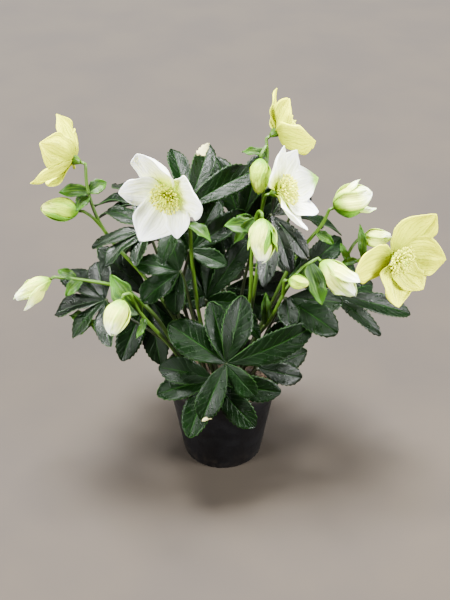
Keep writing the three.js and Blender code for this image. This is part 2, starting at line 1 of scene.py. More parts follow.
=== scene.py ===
# %% [markdown]
# # A hellebore in flower, in a round nursery pot
#
# A hellebore is a low evergreen plant. Leathery leaves of several toothed leaflets spread from
# stiff stalks, and separate pale stems carry the nodding flowers above them. This lesson dresses
# the plain solids of the plant: each one is replaced by a finer piece of the same form and place.
# The frame holds those solids, in metres, with the origin in the middle of the pot's base.

# %% Load the frame
import math
import random

import bmesh
import bpy
from mathutils import Matrix, Vector, noise


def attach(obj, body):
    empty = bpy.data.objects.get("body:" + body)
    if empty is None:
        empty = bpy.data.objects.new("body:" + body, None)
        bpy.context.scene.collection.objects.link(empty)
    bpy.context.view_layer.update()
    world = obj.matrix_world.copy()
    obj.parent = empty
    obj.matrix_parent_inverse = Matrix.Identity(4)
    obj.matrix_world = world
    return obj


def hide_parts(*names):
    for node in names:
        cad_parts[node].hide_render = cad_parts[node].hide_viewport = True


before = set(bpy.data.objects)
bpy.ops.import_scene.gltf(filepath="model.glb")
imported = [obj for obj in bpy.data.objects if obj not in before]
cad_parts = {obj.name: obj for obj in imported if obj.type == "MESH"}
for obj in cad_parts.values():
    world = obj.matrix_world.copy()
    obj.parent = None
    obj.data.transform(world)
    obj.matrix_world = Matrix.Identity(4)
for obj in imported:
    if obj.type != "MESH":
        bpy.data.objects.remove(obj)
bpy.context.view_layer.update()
scene = bpy.context.scene
print("solids in the frame:", len(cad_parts))

# %% [markdown]
# ## The camera
#
# The plant is seen from a little above, as it is when one bends over a pot on the ground. A lens
# of 60 mm on a tall 36 mm frame gives the calm perspective of a portrait. The camera is built
# first, so that every later step can be checked through it.

# %% Camera
MM = 0.001

camera_data = bpy.data.cameras.new("camera")
camera_data.lens = 60
camera_data.sensor_fit = "VERTICAL"
camera_data.sensor_height = 36
camera = bpy.data.objects.new("camera", camera_data)
camera.location = (2.7 * MM, -868.3 * MM, 811.0 * MM)
camera.rotation_euler = (math.radians(55), 0, 0)
scene.collection.objects.link(camera)
scene.camera = camera
print("camera height in metres:", round(camera.location.z, 3))

# %% [markdown]
# ## Colours and nodes
#
# Colours are picked as sRGB hex values, as a painter would read them off a chart, but shaders
# add up light, which needs linear values. One function turns them. A second one sets a node's
# inputs, whether to a number, a colour or what comes out of another node, and a third adds a node.
# So each material below reads as a recipe. Two kinds of node always have the same settings: Map
# Range, which eases its value (input 0) from one pair of numbers (1 and 2) to another (3 and 4),
# and Mix, which blends two colours (inputs 6 and 7) by a factor (0).

# %% Colour and node helpers
EASED = {"interpolation_type": "SMOOTHSTEP"}
COLOURS = {"data_type": "RGBA"}
MIXED = 2  # the output of a Mix node that holds a colour


def linear(hex_colour):
    channels = [int(hex_colour[i : i + 2], 16) / 255 for i in (0, 2, 4)]
    return tuple(
        c / 12.92 if c <= 0.04045 else ((c + 0.055) / 1.055) ** 2.4 for c in channels
    ) + (1.0,)


def set_inputs(node, inputs):
    """Each input is given a value or a hex colour, or is linked to a socket or another node."""
    for name, value in inputs.items():
        if isinstance(value, str):
            value = linear(value)
        if isinstance(value, bpy.types.Node):
            value = value.outputs[0]
        if isinstance(value, bpy.types.NodeSocket):
            node.id_data.links.new(value, node.inputs[name])
        else:
            node.inputs[name].default_value = value


def add_node(tree, kind, inputs=None, **settings):
    node = tree.nodes.new("ShaderNode" + kind)
    for name, value in settings.items():
        setattr(node, name, value)
    set_inputs(node, inputs or {})
    return node


def new_material(name, inputs):
    """A material with one Principled shader, whose plain inputs are set here, and the object's
    own coordinates, which patterns are laid out in."""
    material = bpy.data.materials.new(name)
    material.use_nodes = True
    tree = material.node_tree
    shader = tree.nodes["Principled BSDF"]
    set_inputs(shader, inputs)
    return material, tree, shader, add_node(tree, "TexCoord").outputs["Object"]


print("mid grey in linear light:", round(linear("808080")[0], 3))

# %% [markdown]
# ## The floor and its surround
#
# A plain pale floor and a pale surround keep the eye on the plant. The floor is a matte plaster,
# whose shade drifts a little in soft blotches. It is large enough to reach the horizon, so that
# no edge shows from any side.

# %% Floor and surround
FLOOR_SIZE = 60.0
FLOOR_BLOTCH = 160

floor_material, tree, shader, place = new_material("pale_plaster_floor", {"Roughness": 0.85})
blotches = add_node(
    tree, "TexNoise", {"Vector": place, "Scale": 1 / (FLOOR_BLOTCH * MM), "Detail": 4.0}
)
shade = add_node(tree, "MapRange", {0: blotches, 1: 0.3, 2: 0.7}, **EASED)
plaster = add_node(tree, "Mix", {0: shade, 6: "1b1206", 7: "21180a"}, **COLOURS).outputs[MIXED]
set_inputs(shader, {"Base Color": plaster})
floor_bm = bmesh.new()
bmesh.ops.create_grid(floor_bm, x_segments=1, y_segments=1, size=FLOOR_SIZE / 2)
floor_mesh = bpy.data.meshes.new("floor")
floor_bm.to_mesh(floor_mesh)
floor_bm.free()
floor_mesh.materials.append(floor_material)
floor = bpy.data.objects.new("floor", floor_mesh)
scene.collection.objects.link(floor)

world = bpy.data.worlds.new("pale_surround")
world.use_nodes = True
set_inputs(world.node_tree.nodes["Background"], {"Color": "eef0f2", "Strength": 0.25})
scene.world = world
print("floor in metres:", FLOOR_SIZE)

# %% [markdown]
# ## The lamps
#
# A soft sky from above and a little behind puts the grey sheen on the leaves. It is imitated by
# a sun lamp as wide as 25 degrees, whose light falls evenly and casts blurred shadows. A large
# area lamp on either side opens the shadows under the leaves and lights the buds. They stand
# almost level with the plant, so that the leaves that face the camera don't mirror them.

# %% Lamps
PLANT_MIDDLE = Vector((0, 0, 0.22))
# name, kind, place, width in metres or in degrees, watts or watts a square metre
LAMPS = [
    ("sky_lamp", "SUN", (-0.3, 0.7, 3.0), 25, 40),
    ("left_lamp", "AREA", (-1.8, -1.1, 0.9), 0.8, 210),
    ("right_lamp", "AREA", (1.8, -0.8, 1.1), 0.9, 240),
]
for name, kind, lamp_place, width, power in LAMPS:
    lamp_data = bpy.data.lights.new(name, kind)
    if kind == "SUN":
        lamp_data.angle = math.radians(width)
    else:
        lamp_data.size = width
    lamp_data.energy = power
    lamp = bpy.data.objects.new(name, lamp_data)
    lamp.location = lamp_place
    lamp.rotation_euler = (PLANT_MIDDLE - lamp.location).to_track_quat("-Z", "Y").to_euler()
    scene.collection.objects.link(lamp)
print("lamps:", [lamp[0] for lamp in LAMPS])

# %% [markdown]
# ## The pot's plastic
#
# A nursery pot is injection-moulded from black recycled polypropylene. It is satin rather than
# glossy, with a fine grain from the mould, and handling leaves dust on its rim and its foot.
# Noise breaks the dust up, and varies how glossy the plastic is.

# %% Pot material
POT_HEIGHT = 108
DUSTY_RIM = 9
DUSTY_FOOT = 26

pot_plastic, tree, shader, place = new_material(
    "moulded_black_polypropylene", {"IOR": 1.49, "Specular IOR Level": 0.17}
)
height = add_node(tree, "SeparateXYZ", {0: place}).outputs[2]
rim_start, rim_end = (POT_HEIGHT - DUSTY_RIM) * MM, POT_HEIGHT * MM
at_rim = add_node(tree, "MapRange", {0: height, 1: rim_start, 2: rim_end}, **EASED)
at_foot = add_node(tree, "MapRange", {0: height, 1: DUSTY_FOOT * MM, 2: 0.0, 4: 0.5}, **EASED)
at_ends = add_node(tree, "Math", {0: at_rim, 1: at_foot}, operation="MAXIMUM")
specks = add_node(
    tree, "TexNoise", {"Vector": place, "Scale": 1 / (9 * MM), "Detail": 6.0, "Roughness": 0.7}
)
speckled = add_node(tree, "MapRange", {0: specks, 1: 0.42, 2: 0.72}, **EASED)
dust = add_node(tree, "Math", {0: at_ends, 1: speckled}, operation="MULTIPLY")
# recycled plastic isn't quite even in its black
streaks = add_node(tree, "TexNoise", {"Vector": place, "Scale": 1 / (45 * MM), "Detail": 3.0})
uneven = add_node(tree, "MapRange", {0: streaks, 1: 0.35, 2: 0.7}, **EASED)
black = add_node(tree, "Mix", {0: uneven, 6: "020203", 7: "060608"}, **COLOURS).outputs[MIXED]
dusty = add_node(tree, "Mix", {0: dust, 6: black, 7: "2c2620"}, **COLOURS).outputs[MIXED]
scuffs = add_node(tree, "TexNoise", {"Vector": place, "Scale": 1 / (14 * MM), "Detail": 5.0})
satin = add_node(tree, "MapRange", {0: scuffs, 1: 0.3, 2: 0.75, 3: 0.36, 4: 0.58}, **EASED)
# the mould's grain is about 0.3 mm on the real pot, and is drawn at 0.9 mm so that it shows
grain = add_node(tree, "TexNoise", {"Vector": place, "Scale": 1 / (0.9 * MM), "Detail": 2.0})
bump = add_node(tree, "Bump", {"Height": grain, "Distance": 0.06 * MM, "Strength": 0.5})
set_inputs(shader, {"Base Color": dusty, "Roughness": satin, "Normal": bump})
print("pot material:", pot_plastic.name)

# %% [markdown]
# ## The peat's crumb
#
# The peat is dark, matte and crumbly: big soft blotches where it is damp or dry, and small pale
# ones for fibres. The same small noise raises the fibres.

# %% Peat material
SOIL_TOP = 97
FIBRE_SIZE = 1.6

peat, tree, shader, place = new_material("damp_peat", {"Roughness": 0.95})
blotches = add_node(tree, "TexNoise", {"Vector": place, "Scale": 1 / (16 * MM), "Detail": 3.0})
dampness = add_node(tree, "MapRange", {0: blotches, 1: 0.35, 2: 0.65}, **EASED)
earth = add_node(tree, "Mix", {0: dampness, 6: "1f1610", 7: "4a3828"}, **COLOURS).outputs[MIXED]
fibres = add_node(
    tree,
    "TexNoise",
    {"Vector": place, "Scale": 1 / (FIBRE_SIZE * MM), "Detail": 5.0, "Roughness": 0.7},
)
bare = add_node(tree, "MapRange", {0: fibres, 1: 0.5, 2: 0.72}, **EASED)
fibrous = add_node(tree, "Mix", {0: bare, 6: earth, 7: "77604a"}, **COLOURS).outputs[MIXED]
bump = add_node(tree, "Bump", {"Height": fibres, "Distance": 1.2 * MM, "Strength": 1.0})
set_inputs(shader, {"Base Color": fibrous, "Normal": bump})
print("peat material:", peat.name)

# %% [markdown]
# ## The veins of a leaflet
#
# A pattern that follows the surface reads the piece's own UV map: U runs across a leaflet and V
# from its stalk to its tip. Side veins leave the midrib at a slant and bow forwards, which is a
# wave along V that lags with the distance from the midrib. A little noise keeps it from being
# ruled. The leaflet's shape uses the same three numbers, so that it puffs up between its veins.

# %% Veins
SIDE_VEINS = 8
VEIN_SLANT = 2.2
VEIN_BOW = 0.8


def sheet_place(tree):
    """Where a point is on its sheet: across it, along it, and its distance from the middle."""
    uv = add_node(tree, "SeparateXYZ", {0: add_node(tree, "UVMap")})
    across, along = uv.outputs[0], uv.outputs[1]
    sideways = add_node(tree, "Math", {0: across, 1: 2.0, 2: -1.0}, operation="MULTIPLY_ADD")
    return across, along, add_node(tree, "Math", {0: sideways}, operation="ABSOLUTE")


def leaf_veins(tree, place, along, off_middle):
    """0 between the veins, up to 0.55 on the side veins and 1 on the midrib."""
    bowed = add_node(tree, "Math", {0: off_middle, 1: VEIN_BOW}, operation="POWER")
    lag = add_node(tree, "Math", {0: bowed, 1: VEIN_SLANT}, operation="MULTIPLY")
    count = add_node(tree, "Math", {0: along, 1: SIDE_VEINS}, operation="MULTIPLY")
    phase = add_node(tree, "Math", {0: count, 1: lag}, operation="SUBTRACT")
    wobble = add_node(tree, "TexNoise", {"Vector": place, "Scale": 1 / (9 * MM), "Detail": 3.0})
    bent = add_node(tree, "Math", {0: wobble, 1: 0.7, 2: phase}, operation="MULTIPLY_ADD")
    ridge = add_node(tree, "Math", {0: bent, 1: 0.5}, operation="PINGPONG")
    side = add_node(tree, "MapRange", {0: ridge, 1: 0.075, 2: 0.0}, **EASED)
    weaker = add_node(tree, "Math", {0: side, 1: 0.55}, operation="MULTIPLY")
    midrib = add_node(tree, "MapRange", {0: off_middle, 1: 0.06, 2: 0.015}, **EASED)
    return add_node(tree, "Math", {0: weaker, 1: midrib}, operation="MAXIMUM")


print("side veins on each half of a leaflet:", SIDE_VEINS)

# %% [markdown]
# ## Leaf green
#
# A hellebore leaflet is thick and leathery, with a waxy skin that mirrors the sky as a grey
# sheen. The midrib and the side veins are sunk in it and are a little paler. Each leaflet
# carries a tone, from blue-black old ones to fresh green ones, and a scar, where its margin has
# dried out.

# %% Leaf materials
NET_MESH = 1.9


def leaf_green(name, dark, fresh, vein, rim, roughness):
    material, tree, shader, place = new_material(name, {"IOR": 1.45})
    _, along, off_middle = sheet_place(tree)
    veins = leaf_veins(tree, place, along, off_middle)
    tone = add_node(tree, "Attribute", attribute_name="tone").outputs["Fac"]
    scar = add_node(tree, "Attribute", attribute_name="scar").outputs["Fac"]

    blotches = add_node(tree, "TexNoise", {"Vector": place, "Scale": 1 / (11 * MM), "Detail": 4.0})
    mottled = add_node(tree, "Math", {0: blotches, 1: 0.5, 2: tone}, operation="MULTIPLY_ADD")
    youth = add_node(tree, "MapRange", {0: mottled, 1: 0.0, 2: 1.4}, **EASED)
    green = add_node(tree, "Mix", {0: youth, 6: dark, 7: fresh}, **COLOURS).outputs[MIXED]
    on_vein = add_node(tree, "Math", {0: veins, 1: 0.6}, operation="MULTIPLY")
    veined = add_node(tree, "Mix", {0: on_vein, 6: green, 7: vein}, **COLOURS).outputs[MIXED]
    at_rim = add_node(tree, "MapRange", {0: off_middle, 1: 0.965, 2: 1.0, 4: 0.55}, **EASED)
    edged = add_node(tree, "Mix", {0: at_rim, 6: veined, 7: rim}, **COLOURS).outputs[MIXED]
    # what has dried out has a ragged border
    frays = add_node(tree, "TexNoise", {"Vector": place, "Scale": 1 / (4 * MM), "Detail": 3.0})
    ragged = add_node(tree, "Math", {0: frays, 1: 0.6, 2: scar}, operation="MULTIPLY_ADD")
    dry = add_node(tree, "MapRange", {0: ragged, 1: 0.72, 2: 0.86}, **EASED)
    colour = add_node(tree, "Mix", {0: dry, 6: edged, 7: "b9b37e"}, **COLOURS).outputs[MIXED]

    # the old blue-black leaves have the thicker bloom of wax, which mirrors more
    wax = add_node(tree, "MapRange", {0: tone, 1: 0.05, 2: 0.4, 3: 0.3, 4: 0.1}, **EASED)
    patches = add_node(tree, "TexNoise", {"Vector": place, "Scale": 1 / (7 * MM), "Detail": 4.0})
    gloss = add_node(
        tree, "MapRange", {0: patches, 1: 0.3, 2: 0.7, 3: roughness - 0.07, 4: roughness + 0.08},
        **EASED,
    )
    # the net of small veins has meshes of about 1 mm on the real leaf, drawn larger to show
    net = add_node(
        tree, "TexVoronoi", {"Vector": place, "Scale": 1 / (NET_MESH * MM)},
        feature="DISTANCE_TO_EDGE",
    )
    meshes = add_node(tree, "MapRange", {0: net, 1: 0.0, 2: 0.25}, **EASED)
    raised = add_node(tree, "Math", {0: meshes, 1: 0.35}, operation="MULTIPLY")
    relief = add_node(tree, "Math", {0: raised, 1: veins}, operation="SUBTRACT")
    bump = add_node(tree, "Bump", {"Height": relief, "Distance": 0.42 * MM, "Strength": 0.85})
    set_inputs(
        shader,
        {"Base Color": colour, "Specular IOR Level": wax, "Roughness": gloss, "Normal": bump},
    )
    return material


leaf_skin = leaf_green("waxy_leaf_skin", "010401", "051902", "183a08", "284818", 0.33)
# the underside is paler and duller than the waxy skin
leaf_back = leaf_green("matte_leaf_underside", "071407", "14300b", "284818", "284818", 0.55)
print("leaf materials:", leaf_skin.name, leaf_back.name)

# %% [markdown]
# ## Stalk and stem green
#
# Leaf stalks are olive and tough. Flowering stems are juicier: darker at the foot and lime green
# near the flowers, with fine ridges along them. So the colour follows the height above ground,
# and a wave round the stalk raises the ridges.

# %% Stalk and stem materials
STALK_RIDGES = 12


def stalk_green(name, low, high, start, end):
    """Coloured from low to high between two heights, in millimetres."""
    material, tree, shader, place = new_material(
        name,
        {
            "Roughness": 0.42, "IOR": 1.4, "Subsurface Weight": 0.08,
            "Subsurface Radius": (1.0, 1.0, 0.4), "Subsurface Scale": 1.5 * MM,
        },
    )
    height = add_node(tree, "SeparateXYZ", {0: place}).outputs[2]
    rising = add_node(tree, "MapRange", {0: height, 1: start * MM, 2: end * MM}, **EASED)
    blotches = add_node(tree, "TexNoise", {"Vector": place, "Scale": 1 / (8 * MM), "Detail": 4.0})
    worn = add_node(tree, "Math", {0: blotches, 1: 0.5, 2: rising}, operation="MULTIPLY_ADD")
    youth = add_node(tree, "MapRange", {0: worn, 1: 0.15, 2: 1.35}, **EASED)
    colour = add_node(tree, "Mix", {0: youth, 6: low, 7: high}, **COLOURS).outputs[MIXED]
    around = add_node(tree, "SeparateXYZ", {0: add_node(tree, "UVMap")}).outputs[0]
    turn = add_node(tree, "Math", {0: around, 1: STALK_RIDGES * math.tau}, operation="MULTIPLY")
    ridges = add_node(tree, "Math", {0: turn}, operation="SINE")
    bump = add_node(tree, "Bump", {"Height": ridges, "Distance": 0.12 * MM, "Strength": 0.6})
    set_inputs(shader, {"Base Color": colour, "Normal": bump})
    return material


leaf_stalk = stalk_green("tough_leaf_stalk", "0f1402", "202c07", 90, 260)
flower_stem = stalk_green("juicy_flower_stem", "080f00", "3a5a02", 90, 280)
print("stalk materials:", leaf_stalk.name, flower_stem.name)

# %% [markdown]
# ## Bracts and sepals
#
# What looks like a petal on a hellebore is a sepal, thin and satiny, and a bract is a thin leaf on
# a stem. Light glows through both, so the shader lets some scatter under the surface. Two of the
# flowers are white with a cream throat, and three older ones are cream-yellow. One recipe serves
# them all: it colours a sheet from its base to its tip, draws veins along it, paints shade between
# its folds as streaks along it, and tints its margin, which on buds is partly painted shade.

# %% Bract and sepal materials
# painted shade: the noise of the streaks of shade between the folds is squeezed 9 times across a
# sheet and 1.2 times along it
FOLD_SHADE_STRETCH = (9, 1.2, 1)


def thin_leafy(name, base, middle, tip, vein, lines, throat=0.1, margin=0.0, light_through=0.4):
    """A thin sheet with its base colour up to its throat, and some veins on each half of it."""
    material, tree, shader, place = new_material(
        name,
        {
            "Roughness": 0.5, "IOR": 1.4, "Specular IOR Level": 0.3,
            "Subsurface Weight": light_through, "Subsurface Radius": (1.0, 1.0, 0.55),
            "Subsurface Scale": 2 * MM,
        },
    )
    across, along, off_middle = sheet_place(tree)
    blotches = add_node(tree, "TexNoise", {"Vector": place, "Scale": 1 / (9 * MM), "Detail": 3.0})
    rise = add_node(tree, "Math", {0: blotches, 1: 0.16, 2: along}, operation="MULTIPLY_ADD")
    past_throat = add_node(tree, "MapRange", {0: rise, 1: throat, 2: throat + 0.38}, **EASED)
    lower = add_node(tree, "Mix", {0: past_throat, 6: base, 7: middle}, **COLOURS).outputs[MIXED]
    at_tip = add_node(tree, "MapRange", {0: rise, 1: 0.62, 2: 1.05}, **EASED)
    whole = add_node(tree, "Mix", {0: at_tip, 6: lower, 7: tip}, **COLOURS).outputs[MIXED]

    # veins run lengthwise, fan out with the sheet and waver a little
    drift = add_node(tree, "TexNoise", {"Vector": place, "Scale": 1 / (6 * MM), "Detail": 3.0})
    waver = add_node(tree, "Math", {0: drift, 1: 0.08, 2: across}, operation="MULTIPLY_ADD")
    count = add_node(tree, "Math", {0: waver, 1: lines}, operation="MULTIPLY")
    line = add_node(tree, "Math", {0: count, 1: 0.5}, operation="PINGPONG")
    veins = add_node(tree, "MapRange", {0: line, 1: 0.09, 2: 0.0}, **EASED)
    on_vein = add_node(tree, "Math", {0: veins, 1: 0.35}, operation="MULTIPLY")
    veined = add_node(tree, "Mix", {0: on_vein, 6: whole, 7: vein}, **COLOURS).outputs[MIXED]
    # painted shade: soft streaks run the same way and stand for the shade in the valleys between
    # the folds; the margin can be greener than the rest, and on buds that green is partly painted
    # shade
    fold_shade_place = add_node(
        tree, "VectorMath", {0: add_node(tree, "UVMap"), 1: FOLD_SHADE_STRETCH}, operation="MULTIPLY"
    )
    # this stretched noise draws the painted shade between the folds
    fibres = add_node(tree, "TexNoise", {"Vector": fold_shade_place, "Scale": 1.0, "Detail": 3.0})
    painted_fold_shade = add_node(tree, "MapRange", {0: fibres, 1: 0.45, 2: 0.8, 4: 0.7}, **EASED)
    with_painted_fold_shade = add_node(tree, "Mix", {0: painted_fold_shade, 6: veined, 7: vein}, **COLOURS).outputs[MIXED]
    # the margin is greener than the rest, and on buds that green is also painted shade along the
    # sepal edges, where one overlaps the next
    edge_green_and_shade = add_node(tree, "MapRange", {0: off_middle, 1: 0.7, 2: 1.0, 4: margin}, **EASED)
    edged = add_node(tree, "Mix", {0: edge_green_and_shade, 6: with_painted_fold_shade, 7: vein}, **COLOURS).outputs[MIXED]
    stain = add_node(tree, "Attribute", attribute_name="scar").outputs["Fac"]
    colour = add_node(tree, "Mix", {0: stain, 6: edged, 7: "7fb02c"}, **COLOURS).outputs[MIXED]

    dents = add_node(tree, "TexNoise", {"Vector": place, "Scale": 1 / (4.5 * MM), "Detail": 3.0})
    relief = add_node(tree, "Math", {0: dents, 1: 1.2, 2: veins}, operation="MULTIPLY_ADD")
    bump = add_node(tree, "Bump", {"Height": relief, "Distance": 0.7 * MM, "Strength": 0.9})
    set_inputs(shader, {"Base Color": colour, "Normal": bump})
    return material


# the streaks are painted shade between the folds
print("streaks across a sheet:", FOLD_SHADE_STRETCH[0])

# %% [markdown]
# ## The colours of bracts and sepals
#
# The view transform of the render pales bright yellows and greens. So the colours below are
# picked stronger than the soft creams and limes that come out.

# %% Bract and sepal colours
# a bract is fresh green, and paler towards its tip
bract_green = thin_leafy(
    "soft_bract", "0f2c00", "133000", "2c5a00", "587c14", lines=9, light_through=0.15
)
# a green-yellow throat opens into white, with faint veins
white_sepal = thin_leafy(
    "white_satin_sepal", "c8da00", "f6fbe0", "fcfffa", "b0be74", lines=13, throat=0.28
)
# an older flower is cream-yellow all over, and greener at its throat
cream_sepal = thin_leafy(
    "cream_satin_sepal", "9ca400", "d6dc00", "e4e600", "889800", lines=13, throat=0.22
)
# a bud is white at its tip, and lime green at its foot and along its margins, where the green is
# also painted shade along the overlapping sepal edges
bud_sepal = thin_leafy(
    "bud_sepal", "70a000", "dce868", "f6fce0", "8cb420", lines=11, margin=0.7
)
# a bud in the shade of the leaves stays lime green
# its margins are greener too, partly as painted shade along the sepal edges
green_bud = thin_leafy(
    "green_bud_sepal", "589400", "bcdc1c", "ecf468", "6c9c0c", lines=11, margin=0.6
)
# the outer, leafy sepals of a bud are plain green
outer_sepal = thin_leafy("green_outer_sepal", "2e6000", "4a8000", "84ac14", "84a828", lines=9)
print("sheet materials:", bract_green.name, white_sepal.name, cream_sepal.name, bud_sepal.name)

# %% [markdown]
# ## Stamens and nectaries
#
# The stamens have cream filaments and pollen-yellow anthers, with greenish nectaries like small
# trumpets around them. All are powdery or translucent, so they scatter light and hardly shine.

# %% Stamen materials
def powdery(name, low, high, roughness=0.75):
    material, tree, shader, place = new_material(
        name,
        {
            "Roughness": roughness, "Subsurface Weight": 0.3,
            "Subsurface Radius": (1.0, 0.9, 0.4), "Subsurface Scale": 1 * MM,
        },
    )
    grains = add_node(tree, "TexNoise", {"Vector": place, "Scale": 1 / (2.5 * MM), "Detail": 3.0})
    dusting = add_node(tree, "MapRange", {0: grains, 1: 0.35, 2: 0.65}, **EASED)
    colour = add_node(tree, "Mix", {0: dusting, 6: low, 7: high}, **COLOURS).outputs[MIXED]
    set_inputs(shader, {"Base Color": colour})
    return material


filament_cream = powdery("cream_filament", "bcc400", "dce400", 0.5)
pollen_yellow = powdery("pollen_yellow_anther", "bcc000", "e8ec00")
nectary_green = powdery("green_yellow_nectary", "c4dc00", "e8f01c", 0.4)
print("stamen materials:", filament_cream.name, pollen_yellow.name, nectary_green.name)

# %% [markdown]
# ## Directions
#
# A gardener would say that a leaf faces left and looks up a little. Directions are kept that
# way, as a bearing round the pot and a rise above level, and sizes stay in millimetres until a
# piece is finished.

# %% Directions
UP = Vector((0, 0, 1))
EAST = Vector((1, 0, 0))
NORTH = Vector((0, 1, 0))


def heading(bearing, rise):
    level = math.cos(math.radians(rise))
    bearing = math.radians(bearing)
    return Vector(
        (level * math.cos(bearing), level * math.sin(bearing), math.sin(math.radians(rise)))
    )


def square_to(axis, direction):
    return (direction - axis * direction.dot(axis)).normalized()


def turned(start, towards, angle):
    return start * math.cos(angle) + towards * math.sin(angle)


def level_and_uphill(face):
    level = UP.cross(face).normalized()
    return level, face.cross(level)


print("a leaf that faces the camera looks along", [round(c, 2) for c in heading(-90, 45)])

# %% [markdown]
# ## Outlines
#
# A blade's outline is a formula with two numbers: where its belly is, as a share of its length,
# and how fast it narrows from there. Where a formula isn't enough, a smooth curve through a
# short table adjusts it, and what starts or stops along a blade is eased in and out.

# %% Outlines and easing
def outline(s, belly, fullness):
    """Half width of a blade along its length, as a share of the widest."""
    s = min(max(s, 0.0), 1.0)
    return ((s / belly) ** belly * ((1 - s) / (1 - belly)) ** (1 - belly)) ** fullness


def hermite(start, leave, end, arrive, t):
    """A smooth step from start to end, with the slopes that it leaves and arrives with."""
    return (
        start * (2 * t**3 - 3 * t**2 + 1)
        + leave * (t**3 - 2 * t**2 + t)
        + end * (3 * t**2 - 2 * t**3)
        + arrive * (t**3 - t**2)
    )


def between(x, table):
    """A value read from a table of (place, value), on a smooth curve through its lines."""
    padded = [table[0], *table, table[-1]]
    for (_, y_before), (x0, y0), (x1, y1), (_, y_after) in zip(
        padded, padded[1:], padded[2:], padded[3:]
    ):
        if x <= x1:
            t = max(x - x0, 0) / (x1 - x0)
            return hermite(y0, (y1 - y_before) / 2, y1, (y_after - y0) / 2, t)
    return table[-1][1]


def ease(x, start, end):
    t = min(max((x - start) / (end - start), 0.0), 1.0)
    return t * t * (3 - 2 * t)


print("a blade's half width at its middle:", round(outline(0.5, 0.58, 1.4), 2))

# %% [markdown]
# ## One sheet for everything that grows
#
# Blades, sepals, stalks and stamens are all rolled or bent sheets. So one helper makes a grid
# with Blender's own operator, hands every point's place across and along the sheet to a shape
# function, and keeps the two numbers as the UV map. Points that meet, at a tip or along a seam,
# are merged. Each point also keeps its tone and scar, for the leaf and sepal materials.

# %% Sheets
MERGE = 1e-7


def new_sheets():
    bm = bmesh.new()
    bm.loops.layers.uv.new("UVMap")
    bm.verts.layers.float.new("tone")
    bm.verts.layers.float.new("scar")
    return bm


def add_sheet(
    bm, columns, rows, shape, spacing=None, tone=0.0, scar=None, material=0, place=Matrix()
):
    """Adds a grid that shape(across, along) bends, with across from -1 to 1 and along 0 to 1."""
    uv_layer = bm.loops.layers.uv["UVMap"]
    tone_layer = bm.verts.layers.float["tone"]
    scar_layer = bm.verts.layers.float["scar"]
    points = bmesh.ops.create_grid(bm, x_segments=columns, y_segments=rows, size=1)["verts"]
    places = {}
    for point in points:
        across, along = point.co.x, (point.co.y + 1) / 2
        places[point] = spacing(across, along) if spacing else (across, along)
    for face in {face for point in points for face in point.link_faces}:
        face.material_index = material
        face.smooth = True
        for loop in face.loops:
            across, along = places[loop.vert]
            loop[uv_layer].uv = ((across + 1) / 2, along)
    for point, (across, along) in places.items():
        point.co = place @ (shape(across, along) * MM)
        point[tone_layer] = tone
        point[scar_layer] = scar(across, along) if scar else 0.0
    bmesh.ops.remove_doubles(bm, verts=points, dist=MERGE)


print("points closer than", MERGE, "m are merged")

# %% [markdown]
# ## Finished pieces
#
# A finished piece gets its mesh, its materials and, if it is a sheet, a thickness by a Solidify
# modifier, which closes it. A leaf's underside and rim take the next material. Then the piece
# is attached to the body it moves with, and the solids that it stands for are hidden.

# %% Finish a piece
made_pieces = []


def finish_piece(name, bm, materials, slot, *nodes, thickness=None, under=False):
    mesh = bpy.data.meshes.new(name)
    bm.to_mesh(mesh)
    bm.free()
    for material in materials:
        mesh.materials.append(material)
    piece = bpy.data.objects.new(name, mesh)
    scene.collection.objects.link(piece)
    if thickness:
        wall = piece.modifiers.new("thickness", "SOLIDIFY")
        wall.thickness = thickness * MM
        wall.offset = 0
        if under:
            wall.material_offset = 1
            wall.material_offset_rim = 1
    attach(piece, "root")
    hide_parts(*nodes)
    made_pieces.append(piece)
    return piece


print("pieces so far:", len(made_pieces))

# %% [markdown]
# ## Stalks
#
# A stalk is a sheet rolled round a route. At each point of the route it needs a direction square
# to the way it runs. Each direction is carried on from the one before it, so that the stalk
# never twists. The first and last rows of the sheet shrink to a point and close its ends.

# %% Stalk helper
def add_stalk(bm, points, start_radius, end_radius, sides=10):
    """A round stalk through points, closed at both ends."""
    axes = []
    side = EAST
    for i, point in enumerate(points):
        along = (points[min(i + 1, len(points) - 1)] - points[max(i - 1, 0)]).normalized()
        side = square_to(along, side)
        axes.append((point, side, along.cross(side)))
    rows = len(points) + 1

    def shape(across, along):
        row = round(along * rows)
        centre, side, other = axes[min(max(row - 1, 0), len(points) - 1)]
        if row in (0, rows):
            return centre
        share = (row - 1) / max(len(points) - 1, 1)
        radius = start_radius + (end_radius - start_radius) * share
        return centre + turned(side, other, math.pi * across) * radius

    add_sheet(bm, sides, rows, shape)


print("ready to roll stalks")

# %% [markdown]
# ## The pot's wall
#
# A real pot is injected into a mould that is turned about its axis, so its profile is drawn once
# and spun round. A groove under the base holds the drainage holes off the ground, and a wider
# collar stiffens the rim.

# %% Pot profile
RIM_RADIUS = 65
FOOT_RADIUS = 45
COLLAR_HEIGHT = 20
COLLAR_STEP = 3
POT_WALL = 1.6
SHOULDER = POT_HEIGHT - COLLAR_HEIGHT
COLLAR_RADIUS = RIM_RADIUS - COLLAR_STEP
NECK_RADIUS = COLLAR_RADIUS - COLLAR_STEP
BASE_DISC = 30
BASE_GROOVE = 38
GROOVE_DEPTH = 2
POT_FLOOR = GROOVE_DEPTH + POT_WALL
SPIN_STEPS = 96


def spin_profile(bm, profile):
    """Turns a profile of (radius, height) in millimetres once round the upright axis."""
    points = [bm.verts.new((radius * MM, 0, height * MM)) for radius, height in profile]
    edges = [bm.edges.new(pair) for pair in zip(points, points[1:])]
    bmesh.ops.spin(
        bm,
        geom=points + edges,
        cent=(0, 0, 0),
        axis=(0, 0, 1),
        angle=math.tau,
        steps=SPIN_STEPS,
        use_merge=True,
    )
    bmesh.ops.remove_doubles(bm, verts=bm.verts, dist=1e-6)
    bmesh.ops.recalc_face_normals(bm, faces=bm.faces)


